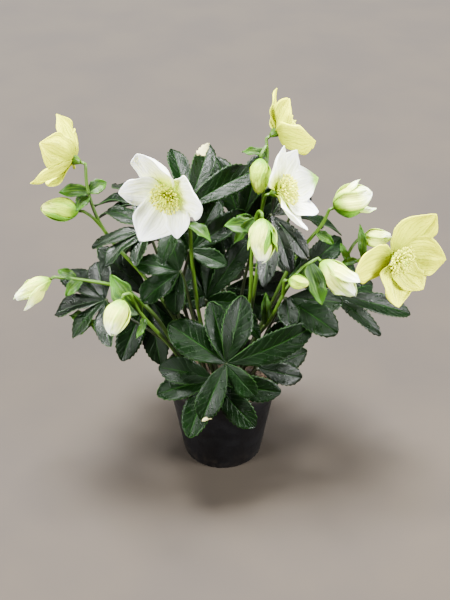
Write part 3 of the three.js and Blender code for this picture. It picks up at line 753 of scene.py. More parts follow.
pot_bm = bmesh.new()
spin_profile(
    pot_bm,
    [
        # the base, with its groove
        (0, 0), (BASE_DISC, 0), (BASE_DISC + 1, GROOVE_DEPTH),
        (BASE_GROOVE - 1, GROOVE_DEPTH), (BASE_GROOVE, 0), (FOOT_RADIUS - 1, 0),
        # up the outside, over the collar and the rolled lip
        (FOOT_RADIUS, 1.2), (NECK_RADIUS, SHOULDER), (COLLAR_RADIUS, SHOULDER + 1.5),
        (RIM_RADIUS - 1, POT_HEIGHT - 3), (RIM_RADIUS, POT_HEIGHT - 2),
        (RIM_RADIUS - 0.4, POT_HEIGHT), (RIM_RADIUS - POT_WALL - 0.6, POT_HEIGHT),
        # down the inside to the floor
        (COLLAR_RADIUS - POT_WALL, SHOULDER + 3), (NECK_RADIUS - POT_WALL, SHOULDER - 1),
        (FOOT_RADIUS - POT_WALL - 0.4, POT_FLOOR), (0, POT_FLOOR),
    ],
)
print("faces in the spun wall:", len(pot_bm.faces))

# %% [markdown]
# ## The drainage holes
#
# Five round holes in the groove let the water out. Cutting them with a Boolean is quicker than
# weaving them into the spin. The cut is made on a blank object, its result is taken as a mesh,
# and the helpers are deleted. A small bevel then gives the edges the soft corner that plastic
# has when it leaves the mould.

# %% Drainage holes
DRAIN_HOLES = 5
DRAIN_RADIUS = 3
SHARP_EDGE = math.radians(35)
MOULDED_EDGE = 0.35


def helper_object(name, bm):
    mesh = bpy.data.meshes.new(name)
    bm.to_mesh(mesh)
    bm.free()
    helper = bpy.data.objects.new(name, mesh)
    scene.collection.objects.link(helper)
    return helper


drill_bm = bmesh.new()
for i in range(DRAIN_HOLES):
    middle = turned(EAST, NORTH, math.tau * i / DRAIN_HOLES) * (BASE_DISC + BASE_GROOVE) / 2
    bmesh.ops.create_cone(
        drill_bm,
        cap_ends=True,
        segments=24,
        radius1=DRAIN_RADIUS * MM,
        radius2=DRAIN_RADIUS * MM,
        depth=4 * POT_FLOOR * MM,
        matrix=Matrix.Translation(middle * MM),
    )
blank, drill = helper_object("pot_blank", pot_bm), helper_object("drill", drill_bm)
cut = blank.modifiers.new("drainage", "BOOLEAN")
cut.operation = "DIFFERENCE"
cut.solver = "EXACT"
cut.object = drill
bpy.context.view_layer.update()
drained = blank.evaluated_get(bpy.context.evaluated_depsgraph_get())
pot_bm = bmesh.new()
pot_bm.from_mesh(bpy.data.meshes.new_from_object(drained))
for helper in (blank, drill):
    bpy.data.objects.remove(helper)
for face in pot_bm.faces:
    face.smooth = True
pot = finish_piece("pot_shell", pot_bm, [pot_plastic], "pot", "pot")
pot.data.set_sharp_from_angle(angle=SHARP_EDGE)
soft_edge = pot.modifiers.new("moulded_edge", "BEVEL")
soft_edge.width = MOULDED_EDGE * MM
soft_edge.segments = 2
soft_edge.limit_method = "ANGLE"
soft_edge.angle_limit = SHARP_EDGE
print("pot faces:", len(pot.data.polygons))

# %% [markdown]
# ## The peat in the pot
#
# The potting mix is one closed body that follows the inside of the pot. Its top is spun as many
# fine rings, which noise then lifts and sinks into lumps.

# %% Peat
CLEARANCE = 0.35
RING_WIDTH = 2
soil_edge = NECK_RADIUS - POT_WALL


def ground_height(x, y):
    """Lumps of two sizes on top of the peat, in millimetres."""
    lumps = noise.noise(Vector((x, y, 3.0)) / 17) * 2.2
    return SOIL_TOP + lumps + noise.noise(Vector((x, y, 9.0)) / 5) * 1.0


soil_bm = bmesh.new()
spin_profile(
    soil_bm,
    [
        (0, POT_FLOOR + CLEARANCE),
        (FOOT_RADIUS - POT_WALL - 1.2, POT_FLOOR + CLEARANCE),
        (soil_edge - 0.9, SHOULDER - 1),
        (soil_edge + 0.8, SOIL_TOP - 4),
        (soil_edge - 0.6, SOIL_TOP - 2),
        *((radius, SOIL_TOP) for radius in range(int(soil_edge - 3), 0, -RING_WIDTH)),
        (0, SOIL_TOP),
    ],
)
for point in soil_bm.verts:
    if point.co.z > (SOIL_TOP - 1) * MM:
        point.co.z = ground_height(point.co.x / MM, point.co.y / MM) * MM
for face in soil_bm.faces:
    face.smooth = True
finish_piece("peat", soil_bm, [peat], "soil", "soil")
print("the peat's level:", SOIL_TOP, "mm")

# %% [markdown]
# ## Crumbs on the peat
#
# Loose crumbs and bits of bark lie on the peat. Each is a small block with few faces, stretched
# and turned at random, since there are hundreds.

# %% Crumbs
random.seed(7)
CRUMBS = 420

crumb_bm = bmesh.new()
for _ in range(CRUMBS):
    radius = (soil_edge - 4) * math.sqrt(random.random())
    place = turned(EAST, NORTH, random.uniform(0, math.tau)) * radius
    size = random.uniform(0.8, 2.6)
    place.z = ground_height(place.x, place.y) + 0.2 * size
    stretch = Matrix.Diagonal((random.uniform(0.7, 1.9), random.uniform(0.5, 1.0), 0.55, 1))
    spun = Matrix.Rotation(random.uniform(0, math.tau), 4, "Z")
    tipped = Matrix.Rotation(random.uniform(-0.5, 0.5), 4, "X")
    bmesh.ops.create_icosphere(
        crumb_bm,
        subdivisions=1,
        radius=size * MM,
        matrix=Matrix.Translation(place * MM) @ (spun @ tipped) @ stretch,
    )
finish_piece("peat_crumbs", crumb_bm, [peat], "soil", "soil")
print("crumbs on the peat:", CRUMBS)

# %% [markdown]
# ## Where the leaves grow
#
# Every leaf stands in the peat at its foot and spreads from its hub, square to the way it faces.
# Its leaflets are (turn, length, width), the turn anticlockwise from level right. All lengths
# are millimetres and all turns degrees, the same as in the solids. The leaves at the back are
# even fans, with the outer leaflets shorter and narrower.

# %% Leaf table
def fan(middle, spread, length, width=28):
    """Five leaflets, spread evenly about a middle turn."""
    leaflets = []
    for place in (-1, -0.5, 0, 0.5, 1):
        share = 1 - 0.28 * place**2
        leaflet_width = round(width * (0.7 + 0.3 * share), 1)
        leaflets.append((middle + spread / 2 * place, round(length * share, 1), leaflet_width))
    return leaflets


LEAVES = {
    "leaf_front": {
        "foot": (4, -34), "hub": (4, -60, 165), "face": (-90, 32),
        "leaflets": [
            (146, 72, 38), (104, 66, 28), (78, 72, 32), (21, 98, 32), (-46, 46, 24),
            (-112, 65, 28),
        ],
    },
    "leaf_front_low": {
        "foot": (-8, -26), "hub": (-9, -52, 137), "face": (-90, 42),
        "leaflets": [(168, 60, 30), (-166, 62, 28), (-116, 66, 30), (-50, 66, 30), (-12, 72, 28)],
    },
    "leaf_front_right": {
        "foot": (26, -26), "hub": (38, -34, 138), "face": (-65, 50),
        "leaflets": [(-30, 50, 24), (0, 60, 26), (32, 42, 22)],
    },
    "leaf_mid": {
        "foot": (-6, -10), "hub": (-17, -2, 205), "face": (-90, 45),
        "leaflets": [(110, 90, 20), (84, 78, 28), (58, 80, 26), (-6, 36, 22)],
    },
    "leaf_mid_left": {
        "foot": (-24, -12), "hub": (-44, -6, 243), "face": (-100, 45),
        "leaflets": [(-132, 50, 30), (114, 40, 24), (176, 48, 24), (-88, 46, 24)],
    },
    "leaf_mid_high": {
        "foot": (-18, 4), "via": (-43, 12, 205), "hub": (-34, 12, 257), "face": (-90, 60),
        "leaflets": [(64, 70, 26), (36, 74, 24), (-24, 42, 20)],
    },
    "leaf_top": {
        "foot": (-14, 14), "via": (-56, 34, 225), "hub": (-36, 30, 299), "face": (-90, 60),
        "leaflets": [(34, 84, 30), (72, 80, 24), (104, 73, 22), (-112, 70, 20), (150, 60, 24)],
    },
    "leaf_left_high": {
        "foot": (-28, -2), "via": (-56, 6, 215), "hub": (-76, 14, 281), "face": (-130, 65),
        "leaflets": [(178, 60, 22), (-134, 62, 22), (-104, 58, 22), (142, 46, 22), (-66, 46, 20)],
    },
    "leaf_left_back": {
        "foot": (-26, 26), "hub": (-85, 63, 284), "face": (180, 70),
        "leaflets": [(-152, 74, 26), (-118, 66, 24), (168, 64, 26), (-88, 51, 22)],
    },
    "leaf_left": {
        "foot": (-38, -8), "hub": (-123, -10, 210), "face": (-130, 60),
        "leaflets": [(174, 70, 30), (-137, 58, 28), (-94, 52, 24), (-42, 58, 24), (140, 52, 26)],
    },
    "leaf_right": {
        "foot": (28, 20), "hub": (72, 20, 213), "face": (-60, 60),
        "leaflets": [(21, 90, 28), (52, 62, 24), (-20, 50, 22), (84, 56, 22)],
    },
    "leaf_right_high": {
        "foot": (14, 20), "hub": (51, 30, 289), "face": (-60, 45),
        "leaflets": [(-118, 78, 22), (-92, 66, 16), (-66, 60, 20), (16, 56, 24), (56, 58, 24)],
    },
    "leaf_right_low": {
        "foot": (34, -12), "hub": (66, -19, 218), "face": (-60, 60),
        "leaflets": [(-24, 62, 26), (-60, 64, 34), (-112, 34, 22)],
    },
    "leaf_right_far": {
        "foot": (42, 12), "via": (82, 22, 162), "hub": (116, 20, 196), "face": (-40, 60),
        "leaflets": [(-48, 100, 24), (-78, 70, 18), (-20, 62, 24), (10, 60, 24)],
    },
    "leaf_right_inner": {
        "foot": (18, -18), "hub": (40, -30, 172), "face": (-80, 50),
        "leaflets": [(20, 48, 22), (-16, 44, 20), (120, 40, 20)],
    },
    "leaf_inner_left": {
        "foot": (-38, 13), "hub": (-82, 44, 177), "face": (-81, 28),
        "leaflets": [(132, 78, 30), (-84, 78, 30), (-120, 78, 30), (-48, 78, 30)],
    },
    "leaf_inner_mid": {
        "foot": (-28, 36), "via": (-2, 27, 153), "hub": (3, 44, 188), "face": (-73, 32),
        "leaflets": [(0, 78, 30), (-36, 78, 30), (-168, 54, 24)],
    },
    "leaf_inner_right": {
        "foot": (39, 23), "hub": (18, 77, 205), "face": (-104, 48),
        "leaflets": [(96, 78, 30), (-144, 78, 30), (132, 78, 30)],
    },
    "leaf_inner_top": {
        "foot": (-9, 10), "via": (-1, 29, 195), "hub": (21, 63, 259), "face": (-109, 29),
        "leaflets": [(84, 78, 30), (120, 78, 30), (48, 78, 30)],
    },
    "leaf_back": {
        "foot": (0, 34), "hub": (-6, 82, 268), "face": (98, 62),
        "leaflets": fan(262, 180, 70),
    },
    "leaf_back_left": {
        "foot": (-22, 38), "hub": (-72, 98, 218), "face": (130, 50),
        "leaflets": fan(270, 200, 72),
    },
    "leaf_back_right": {
        "foot": (22, 36), "hub": (76, 92, 255), "face": (48, 55),
        "leaflets": fan(270, 190, 66),
    },
    "leaf_back_low": {
        "foot": (2, 44), "hub": (8, 104, 172), "face": (90, 45),
        "leaflets": fan(270, 200, 70),
    },
}
leaflet_count = sum(len(leaf["leaflets"]) for leaf in LEAVES.values())
print("leaves:", len(LEAVES), "leaflets:", leaflet_count)

# %% [markdown]
# ## Old leaves and young ones
#
# Each leaf has a tone, from 0 for an old one, nearly blue-black, to 1 for the freshest green. Two
# leaflets have dried out near their tips, on one side (-1 or 1) and from a share of the length
# on.

# %% Leaf tones
USUAL_TONE = 0.3
LEAF_TONES = {
    "leaf_left": 0.18, "leaf_left_high": 0.22, "leaf_left_back": 0.12, "leaf_right_far": 0.25,
    "leaf_front": 0.36, "leaf_front_low": 0.4, "leaf_top": 0.45, "leaf_mid_left": 0.5,
    "leaf_mid": 0.5, "leaf_mid_high": 0.5, "leaf_right_high": 0.05,
}
# (leaf, number of the leaflet): (side, where it starts)
DRIED = {("leaf_top", 1): (-1, 0.5), ("leaf_front", 5): (-1, 0.84)}
print("leaves with a tone of their own:", len(LEAF_TONES))

# %% [markdown]
# ## A leaflet
#
# A leaflet is a lens-shaped blade, folded up along its midrib and arched along its length. Its
# margin has forward-pointing teeth: each pair of grid rows makes one, a long run out and a short
# step back, so the teeth are real edges. Between the side veins the blade puffs up a little,
# and its margin waves. One leaflet in a few cups more than its neighbours, as real ones do.

# %% Leaflet shape
LEAFLET_BELLY = 0.58
LEAFLET_FULLNESS = 1.4
LEAFLET_WIDTHS = [(0, 0.8), (0.26, 0.92), (0.5, 1.0), (0.75, 1.02), (1, 1.0)]
LEAFLET_ROLL = math.radians(14)
LEAFLET_FOLD = math.radians(14)
LEAFLET_ARCH = 0.28
LEAFLET_COLUMNS = 14
TOOTH_LENGTH = 5.2
TOOTH_RUN = 0.8  # the share of a tooth's length that runs out to its point
TOOTH_OUT = 0.85
TOOTH_IN = 0.55
PUFF = 0.6
MIDRIB_GROOVE = 0.45


def leaflet(bm, root, toward, face, length, width, tone, dried):
    along_way = toward.normalized()
    up = Matrix.Rotation(LEAFLET_ROLL, 3, along_way) @ square_to(along_way, face)
    right = along_way.cross(up)
    teeth = max(round(length / TOOTH_LENGTH), 6)
    side, start = dried or (1, 0)
    wave, cup, phase = random.uniform(0.7, 2.2), random.uniform(-1.0, 1.6), random.random()
    sway = random.uniform(-0.05, 0.05)

    def spacing(across, along):
        row = round(along * 2 * teeth)
        s = (row // 2 + (TOOTH_RUN if row % 2 else 0)) / teeth
        return math.copysign(abs(across) ** 1.25, across), s

    def shape(across, s):
        reach = abs(across)
        half = width / 2 * outline(s, LEAFLET_BELLY, LEAFLET_FULLNESS) * between(s, LEAFLET_WIDTHS)
        toothed = ease(s, 0.2, 0.35) * (1 - ease(s, 0.95, 1.0))
        at_point = abs(s * teeth - round(s * teeth)) > 0.1
        tooth = (TOOTH_OUT if at_point else -TOOTH_IN) * toothed * (reach > 0.99)
        vein_wave = math.cos(math.tau * (s * SIDE_VEINS - VEIN_SLANT * reach**VEIN_BOW))
        puff = PUFF * vein_wave * reach * (1 - reach)
        ripple = wave * reach**2 * math.sin(math.tau * (1.7 * s + phase) + 2.2 * across)
        lift = half * math.sin(LEAFLET_FOLD) * reach**1.2
        groove = -MIDRIB_GROOVE * max(1 - reach * 12, 0) * ease(s, 0, 0.2)
        arch = LEAFLET_ARCH * length * s * (1 - s)
        rise = arch + lift + puff + ripple * ease(s, 0, 0.3) + groove
        rise -= cup * reach**2 * half * 0.12
        out = (half * reach * math.cos(LEAFLET_FOLD) + tooth) * math.copysign(1, across)
        out += sway * length * s * s
        return root + along_way * (s * length) + right * out + up * rise

    def scar(across, s):
        return ease(s, start, 0.97) * ease(side * across, -0.6, 0.6) if dried else 0.0

    add_sheet(bm, LEAFLET_COLUMNS, 2 * teeth, shape, spacing, tone, scar)


print("teeth on a 70 mm leaflet:", 2 * round(70 / TOOTH_LENGTH))

# %% [markdown]
# ## Leaf stalks
#
# A stalk comes straight out of the peat and bends over to meet its leaf from beneath. That is a
# Bezier curve with one handle straight up and one along the leaf's face. Where it has to find a
# way past the others it goes by a point, on a smooth curve through it.

# %% Stalk routes
ROOT_DEPTH = 10
COLLAR_OF_PEAT = 3
ROUTE_SECTIONS = 24


def smooth_route(knots, sections):
    """Points on a centripetal Catmull-Rom curve through the knots."""
    ends = [knots[0] * 2 - knots[1], *knots, knots[-1] * 2 - knots[-2]]
    route = []
    for n in range(sections + 1):
        place = (len(knots) - 1) * n / sections
        i = min(int(place), len(knots) - 2)
        p0, p1, p2, p3 = ends[i : i + 4]
        d0, d1, d2 = ((b - a).length ** 0.5 for a, b in ((p0, p1), (p1, p2), (p2, p3)))
        leave = ((p1 - p0) / d0 - (p2 - p0) / (d0 + d1) + (p2 - p1) / d1) * d1
        arrive = ((p2 - p1) / d1 - (p3 - p1) / (d1 + d2) + (p3 - p2) / d2) * d1
        route.append(hermite(p1, leave, p2, arrive, place - i))
    return route


def from_soil(foot, rise):
    return [Vector((*foot, SOIL_TOP - ROOT_DEPTH)), *rise]


def leaf_stalk_route(foot, hub, face, via=None):
    start = Vector((*foot, SOIL_TOP + COLLAR_OF_PEAT))
    hub = Vector(hub)
    if via:
        return from_soil(foot, smooth_route([start, Vector(via), hub], ROUTE_SECTIONS))
    span = (hub - start).length
    first, second = start + UP * span * 0.4, hub - face * span * 0.3
    rise = [
        start * (1 - t) ** 3
        + first * 3 * t * (1 - t) ** 2
        + second * 3 * t**2 * (1 - t)
        + hub * t**3
        for t in (n / ROUTE_SECTIONS for n in range(ROUTE_SECTIONS + 1))
    ]
    return from_soil(foot, rise)


print("stalks and stems stand", ROOT_DEPTH, "mm deep in the peat")

# %% [markdown]
# ## The leaves
#
# All the leaflets of a leaf are one piece with the waxy skin above and the matte skin beneath.
# The stalk is a piece of its own, with a small swelling, the knuckle, where the leaflets join it.

# %% Leaves
random.seed(23)
STALK_RADIUS = 1.9
KNUCKLE_RADIUS = 3.0
LEAF_THICKNESS = 0.6
for name, leaf in LEAVES.items():
    hub = Vector(leaf["hub"])
    face = heading(*leaf["face"])
    right, uphill = level_and_uphill(face)
    blades = new_sheets()
    for number, (turn, length, width) in enumerate(leaf["leaflets"]):
        tone = LEAF_TONES.get(name, USUAL_TONE) + random.uniform(-0.12, 0.12)
        toward = turned(right, uphill, math.radians(turn))
        dried = DRIED.get((name, number))
        leaflet(blades, hub, toward, face, length, width, tone, dried)
    finish_piece(
        f"{name}_leaflets", blades, [leaf_skin, leaf_back], "leaf", name,
        thickness=LEAF_THICKNESS, under=True,
    )
    stalk = new_sheets()
    route = leaf_stalk_route(leaf["foot"], leaf["hub"], face, leaf.get("via"))
    add_stalk(stalk, route, STALK_RADIUS, STALK_RADIUS * 0.8)
    add_stalk(stalk, [hub - face, hub + face * 0.6], KNUCKLE_RADIUS, KNUCKLE_RADIUS * 0.7)
    finish_piece(f"{name}_stalk", stalk, [leaf_stalk], "stem", name)
print("leaf pieces:", 2 * len(LEAVES))

# %% [markdown]
# ## Where the flowers and buds are
#
# A flower's sepals are (turn, length, width) about the way it faces, and some lean in or out by a
# fourth number of degrees. They open from one angle above the flower's plane at the base to
# another at the tip. A bud points along its face. Some have loose sepals already, and a fourth
# number of 1 marks the greener, leafy ones.

# %% Flower and bud tables
BLOOMS = {
    "bloom_white_left": {
        "at": (-49, -10, 338), "face": (-118, -3), "open": (14, 40),
        "sepals": [(112, 63, 46), (178, 53, 38), (-120, 61, 40), (-66, 46, 34), (14, 56, 44)],
    },
    "bloom_white_right": {
        "at": (54, 10, 327), "face": (-20, 26), "open": (16, 48),
        "sepals": [(90, 52, 36), (44, 48, 34), (-20, 54, 38), (-68, 50, 38), (-124, 54, 38)],
    },
    "bloom_cream_top": {
        "at": (55, 71, 364), "face": (23, 29), "open": (14, 62),
        "sepals": [
            (40, 47, 36), (112, 44, 34), (184, 52, 42, -12), (-94, 52, 42, -2), (-26, 48, 36),
        ],
    },
    "bloom_cream_left": {
        "at": (-150, 42, 347), "face": (168, 18), "open": (14, 64),
        "sepals": [(108, 50, 38), (36, 50, 38), (-42, 52, 38), (-112, 50, 44), (180, 48, 42, -14)],
    },
    "bloom_cream_right": {
        "at": (178, 6, 254), "face": (-60, 6), "open": (14, 44),
        "sepals": [
            (52, 63, 46, -8), (-4, 55, 46), (-60, 48, 42), (-102, 54, 44), (178, 58, 46, -20),
        ],
    },
}
BUDS = {
    "bud_left": {
        "at": (-147, 20, 300), "face": (-175, 8), "length": 38, "width": 22,
    },
    "bud_far_left": {
        "at": (-178, -10, 236), "face": (-162, -23), "length": 42, "width": 17,
        "loose": [(-150, 40, 20), (-20, 42, 20)],
    },
    "bud_front_left": {
        "at": (-99, -60, 245), "face": (-115, -50), "length": 36, "width": 22,
    },
    "bud_middle": {
        "at": (39, -20, 314), "face": (-90, -55), "length": 43, "width": 25,
        "loose": [(0, 36, 22, 1), (175, 34, 20, 1)],
    },
    "bud_right": {
        "at": (100, -20, 264), "face": (-33, -34), "length": 48, "width": 24,
        "loose": [(100, 46, 24), (-60, 48, 24)],
    },
    "bud_back_right": {
        "at": (115, 30, 298), "face": (13, 19), "length": 42, "width": 30,
        "loose": [(-100, 46, 24), (60, 40, 26)],
    },
    "bud_behind": {
        "at": (39, 45, 346), "face": (-96, -50), "length": 36, "width": 20,
    },
    "bud_behind_right": {
        "at": (146, 20, 266), "face": (-2, 8), "length": 30, "width": 18,
    },
    "bud_small": {
        "at": (67, -38, 253), "face": (-20, 4), "length": 20, "width": 14,
    },
}
print("flowers:", len(BLOOMS), "buds:", len(BUDS))

# %% [markdown]
# ## A sepal
#
# A sepal is a sheet that bends evenly along its length and is curved across, a little less than
# the bowl of the flower. One side lies over its neighbour and the other side under. Its margin
# waves, shallow folds run along it, and all of that fades out towards its point. No two are
# alike, since each draws its own waves, folds and sway.

# %% Sepal shape
SEPAL_BELLY = 0.58
SEPAL_FULLNESS = 1.3
SEPAL_WIDTHS = [(0, 0.5), (0.12, 0.72), (0.36, 1.0), (0.64, 1.02), (0.86, 0.98), (1, 0.9)]
SEPAL_FLARE = 1.12  # the bowl's radius, as a share of how far out the sepal is there
SEPAL_LAP = 0.13
LEAST_LAP = 1.3
MOST_TURN = 0.9
SOFT_FOLDS = 4.4
FINE_FOLDS = 0.4
CREASE = 1.1
SEPAL_COLUMNS = 18
SEPAL_ROWS = 26


def sepal(
    bm, centre, turn, length, width, lean, opening, ruffle=1.0, green_tip=False, material=0
):
    """A sepal of a flower that looks straight up, from centre."""
    start = math.radians(opening[0] + lean)
    bend = math.radians(opening[1] - opening[0])
    outward = turned(EAST, NORTH, math.radians(turn))
    side = outward.cross(UP)
    wave, phase = random.uniform(1.4, 3.0) * ruffle, random.random()
    notch = random.uniform(0.01, 0.03) * ruffle
    sway = random.uniform(-0.07, 0.07) * ruffle
    seed = random.uniform(0, 99)

    def half_width(across, s, point):
        half = width / 2 * outline(s, SEPAL_BELLY, SEPAL_FULLNESS) * between(s, SEPAL_WIDTHS)
        half *= 1 - 0.5 * point
        uneven = noise.noise(Vector((4 * s, math.copysign(7, across), seed)))
        half *= 1 + 0.3 * ruffle * uneven * ease(s, 0.3, 0.6)
        return half * (1 + notch * math.sin(math.tau * 5 * s + across) * ease(s, 0.4, 0.7))

    def ruffles(across, s):
        edge = wave * abs(across) ** 3 * math.sin(math.tau * (1.9 * s + phase) + across)
        soft = noise.noise(Vector((2.4 * across, 1.4 * s, seed)))
        fold = SOFT_FOLDS * ruffle * soft * ease(s, 0, 0.5)
        fold += FINE_FOLDS * ruffle * math.cos(5 * math.pi * across + 6 * phase) * ease(s, 0, 0.4)
        return edge + (fold + CREASE * max(1 - abs(across) * 3, 0) * ease(s, 0.1, 0.4))

    def shape(across, s):
        angle = start + bend * s
        out = length / bend * (math.sin(angle) - math.sin(start))
        rise = length / bend * (math.cos(start) - math.cos(angle))
        point = ease(s, 0.74, 1.0)
        half = half_width(across, s, point)
        bowl = max(out * SEPAL_FLARE, 0.5)
        around = (half * across + sway * length * s**3) / bowl
        ray = turned(outward, side, max(min(around, MOST_TURN), -MOST_TURN))
        inner = turned(UP, -ray, angle)
        lap = across * max(SEPAL_LAP * half, LEAST_LAP) * ease(s, 0, 0.12) * (1 - point)
        lifted = inner * (lap + ruffles(across, s) * (1 - point))
        return centre + outward * (out - bowl) + ray * bowl + UP * rise + lifted

    def stain(across, s):
        return ease(s, 0.78, 0.92) if green_tip else 0.0

    add_sheet(bm, SEPAL_COLUMNS, SEPAL_ROWS, shape, scar=stain, material=material)


print("faces in a sepal's grid:", SEPAL_COLUMNS * SEPAL_ROWS)

# %% [markdown]
# ## Turned knobs, and a head's place
#
# A flower is made looking straight up and then put in its place, so that its shape functions
# stay simple. Small round parts, such as the receptacle behind a flower, an anther or a nectary,
# are profiles turned about an axis, as on a lathe.

# %% Round parts and places
def head_place(head):
    """The matrix that takes a flower that looks straight up to its place and face."""
    axis = heading(*head["face"])
    level, uphill = level_and_uphill(axis)
    turn = Matrix((level, uphill, axis)).transposed().to_4x4()
    return Matrix.Translation(Vector(head["at"]) * MM) @ turn


def add_turned(bm, profile, sides=12, place=Matrix()):
    """A round body from a profile of (height, radius) about the upright axis of its place."""
    rows = len(profile) + 1

    def shape(across, along):
        row = round(along * rows)
        height, radius = profile[min(max(row - 1, 0), len(profile) - 1)]
        radius = 0 if row in (0, rows) else radius
        return turned(EAST, NORTH, math.pi * across) * radius + UP * height

    add_sheet(bm, sides, rows, shape, place=place)


print("ready to turn knobs")

# %% [markdown]
# ## The flowers
#
# The five sepals of a flower are one piece on their receptacle, the small green knob behind
# them. One sepal of the white flower on the right has kept a green tip.

# %% Flowers
random.seed(14)
RECEPTACLE = [(-7, 2.2), (-5, 3.2), (-2, 5.0), (1.5, 4.9), (5, 3.6)]
SEPAL_THICKNESS = 0.5
GREEN_TIPS = {("bloom_white_right", -20)}
for name, bloom in BLOOMS.items():
    slot = "cream_sepal" if "cream" in name else "white_sepal"
    petals = new_sheets()
    for turn, length, width, *lean in bloom["sepals"]:
        sepal(
            petals, Vector((0, 0, 0)), turn, length, width, sum(lean), bloom["open"],
            green_tip=(name, turn) in GREEN_TIPS,
        )
    petals.transform(head_place(bloom))
    finish = cream_sepal if "cream" in name else white_sepal
    finish_piece(name + "_sepals", petals, [finish], slot, name, thickness=SEPAL_THICKNESS)
    knob = new_sheets()
    add_turned(knob, RECEPTACLE)
    knob.transform(head_place(bloom))
    finish_piece(name + "_receptacle", knob, [flower_stem], slot, name)
print("flower pieces:", 2 * len(BLOOMS))

# %% [markdown]
# ## One boss of stamens
#
# The boss in a fresh flower holds about a hundred stamens in crowded whorls. Each is a fine
# filament that arches outwards and carries a small anther. They are real geometry but with only
# a few dozen faces each. Around their foot stand the nectaries, a ring of short green-yellow
# trumpets, and in the middle the tips of the seed pods show.

# %% Stamen helpers
# count, root radius, root height, tip radius, tip height
WHORLS = [
    (34, 4.6, 6.5, 16.0, 15.5), (28, 3.8, 7.0, 12.6, 18.0), (20, 3.0, 8.0, 9.0, 19.6),
    (14, 2.0, 9.0, 5.4, 21.0),
]
FILAMENT_RADIUS = 0.42
FILAMENT_TIP_RADIUS = 0.3
FILAMENT_ARCH = 1.6
NECTARIES = 15
NECTARY_RING = 5.4
SEED_PODS = 4
ANTHER = [(-1.5, 0.5), (-0.8, 0.95), (0.5, 0.9), (1.3, 0.35)]
TRUMPET = [(0, 0.7), (2.2, 1.0), (4.2, 1.35), (5.2, 1.75), (5.0, 1.25), (3.4, 0.9)]


def pointed(place, along):
    """The matrix that takes what points straight up to a place, pointing along a way."""
    turn = UP.rotation_difference(along).to_matrix().to_4x4()
    return Matrix.Translation(place * MM) @ turn


def add_stamen(threads, anthers, outward, whorl):
    _, root_radius, root_height, tip_radius, tip_height = whorl
    tip_reach = tip_radius * random.uniform(0.86, 1.04)
    root = outward * root_radius + UP * root_height
    tip = outward * tip_reach + UP * (tip_height * random.uniform(0.88, 1.05))
    belly = root.lerp(tip, 0.5) + UP * FILAMENT_ARCH
    add_stalk(threads, [root, belly, tip], FILAMENT_RADIUS, FILAMENT_TIP_RADIUS, sides=4)
    swing = Vector([random.uniform(-0.5, 0.5) for _ in range(3)])
    way = (tip - belly).normalized() + swing
    add_turned(anthers, ANTHER, sides=6, place=pointed(tip, way))


def add_cups(cups):
    for i in range(NECTARIES):
        outward = turned(EAST, NORTH, math.tau * i / NECTARIES)
        place = pointed(outward * NECTARY_RING + UP * 3.6, UP + outward * 0.75)
        add_turned(cups, TRUMPET, sides=7, place=place)
    for i in range(SEED_PODS):
        outward = turned(EAST, NORTH, math.tau * (i + 0.4) / SEED_PODS)
        root = outward * 1.2 + UP * 6
        add_stalk(cups, [root, root + UP * 8, root + UP * 15 + outward * 1.4], 1.3, 0.4, sides=7)


print("stamens in a flower:", sum(whorl[0] for whorl in WHORLS))

# %% [markdown]
# ## The stamens
#
# Filaments, anthers and nectaries have a material each, so they are three pieces in a flower.
# Each stamen is nudged along its whorl, which keeps the boss from looking machined.

# %% Stamens
random.seed(11)
for name, bloom in BLOOMS.items():
    threads, anthers, cups = new_sheets(), new_sheets(), new_sheets()
    for whorl in WHORLS:
        for i in range(whorl[0]):
            turn = math.tau * (i + random.uniform(-0.35, 0.35)) / whorl[0]
            add_stamen(threads, anthers, turned(EAST, NORTH, turn), whorl)
    add_cups(cups)
    node = name.replace("bloom", "stamens")
    for piece_name, bm, material in (
        ("filaments", threads, filament_cream),
        ("anthers", anthers, pollen_yellow),
        ("nectaries", cups, nectary_green),
    ):
        bm.transform(head_place(bloom))
        finish_piece(f"{node}_{piece_name}", bm, [material], "stamen", node)
print("stamen pieces:", 3 * len(BLOOMS))

# %% [markdown]
# ## One sepal of a bud
#
# A bud is five sepals rolled round each other. Each is a sheet that wraps a good third of the
# bud and turns slowly round it, with one margin lying over the next sepal, which draws the
# slanting edges that a bud shows. It narrows to a neck where the stalk holds it.

# %% Bud sepal
BUD_BELLY = 0.42
BUD_FULLNESS = 1.15
BUD_TWIST = 50
BUD_WRAP = 50
BUD_NECK = 2.2
OVERLAP = 0.24
BUD_COLUMNS = 14
BUD_ROWS = 26


def add_bud_sepal(bm, number, middle, proud, length, width, material):
    def shape(across, s):
        wrap = BUD_WRAP * (1 - 0.5 * ease(s, 0.6, 1.0))
        turn = math.radians(middle + wrap * across + BUD_TWIST * s)
        over = 0.92 + OVERLAP * ease(across, -0.1, 1.0) * ease(s, 0.0, 0.3)
        crease = 0.025 * math.cos(4 * math.pi * across + number) * ease(s, 0.2, 0.6)
        crease += 0.06 * noise.noise(Vector((2 * across, 3 * s, middle)))
        radius = width / 2 * outline(s, BUD_BELLY, BUD_FULLNESS) * (over + crease) * proud
        radius = max(radius, BUD_NECK * (1 - s * 9))
        return turned(EAST, NORTH, turn) * radius + UP * (length * s * proud)

    add_sheet(bm, BUD_COLUMNS, BUD_ROWS, shape, material=material)


print("a bud's sepal turns", BUD_TWIST, "degrees round it")

# %% [markdown]
# ## The buds
#
# Inside its five wrapped sepals a bud has a plain round heart, so that nothing shows through a
# gap. Buds in the shade of the leaves are greener, and some of the outer sepals are green.

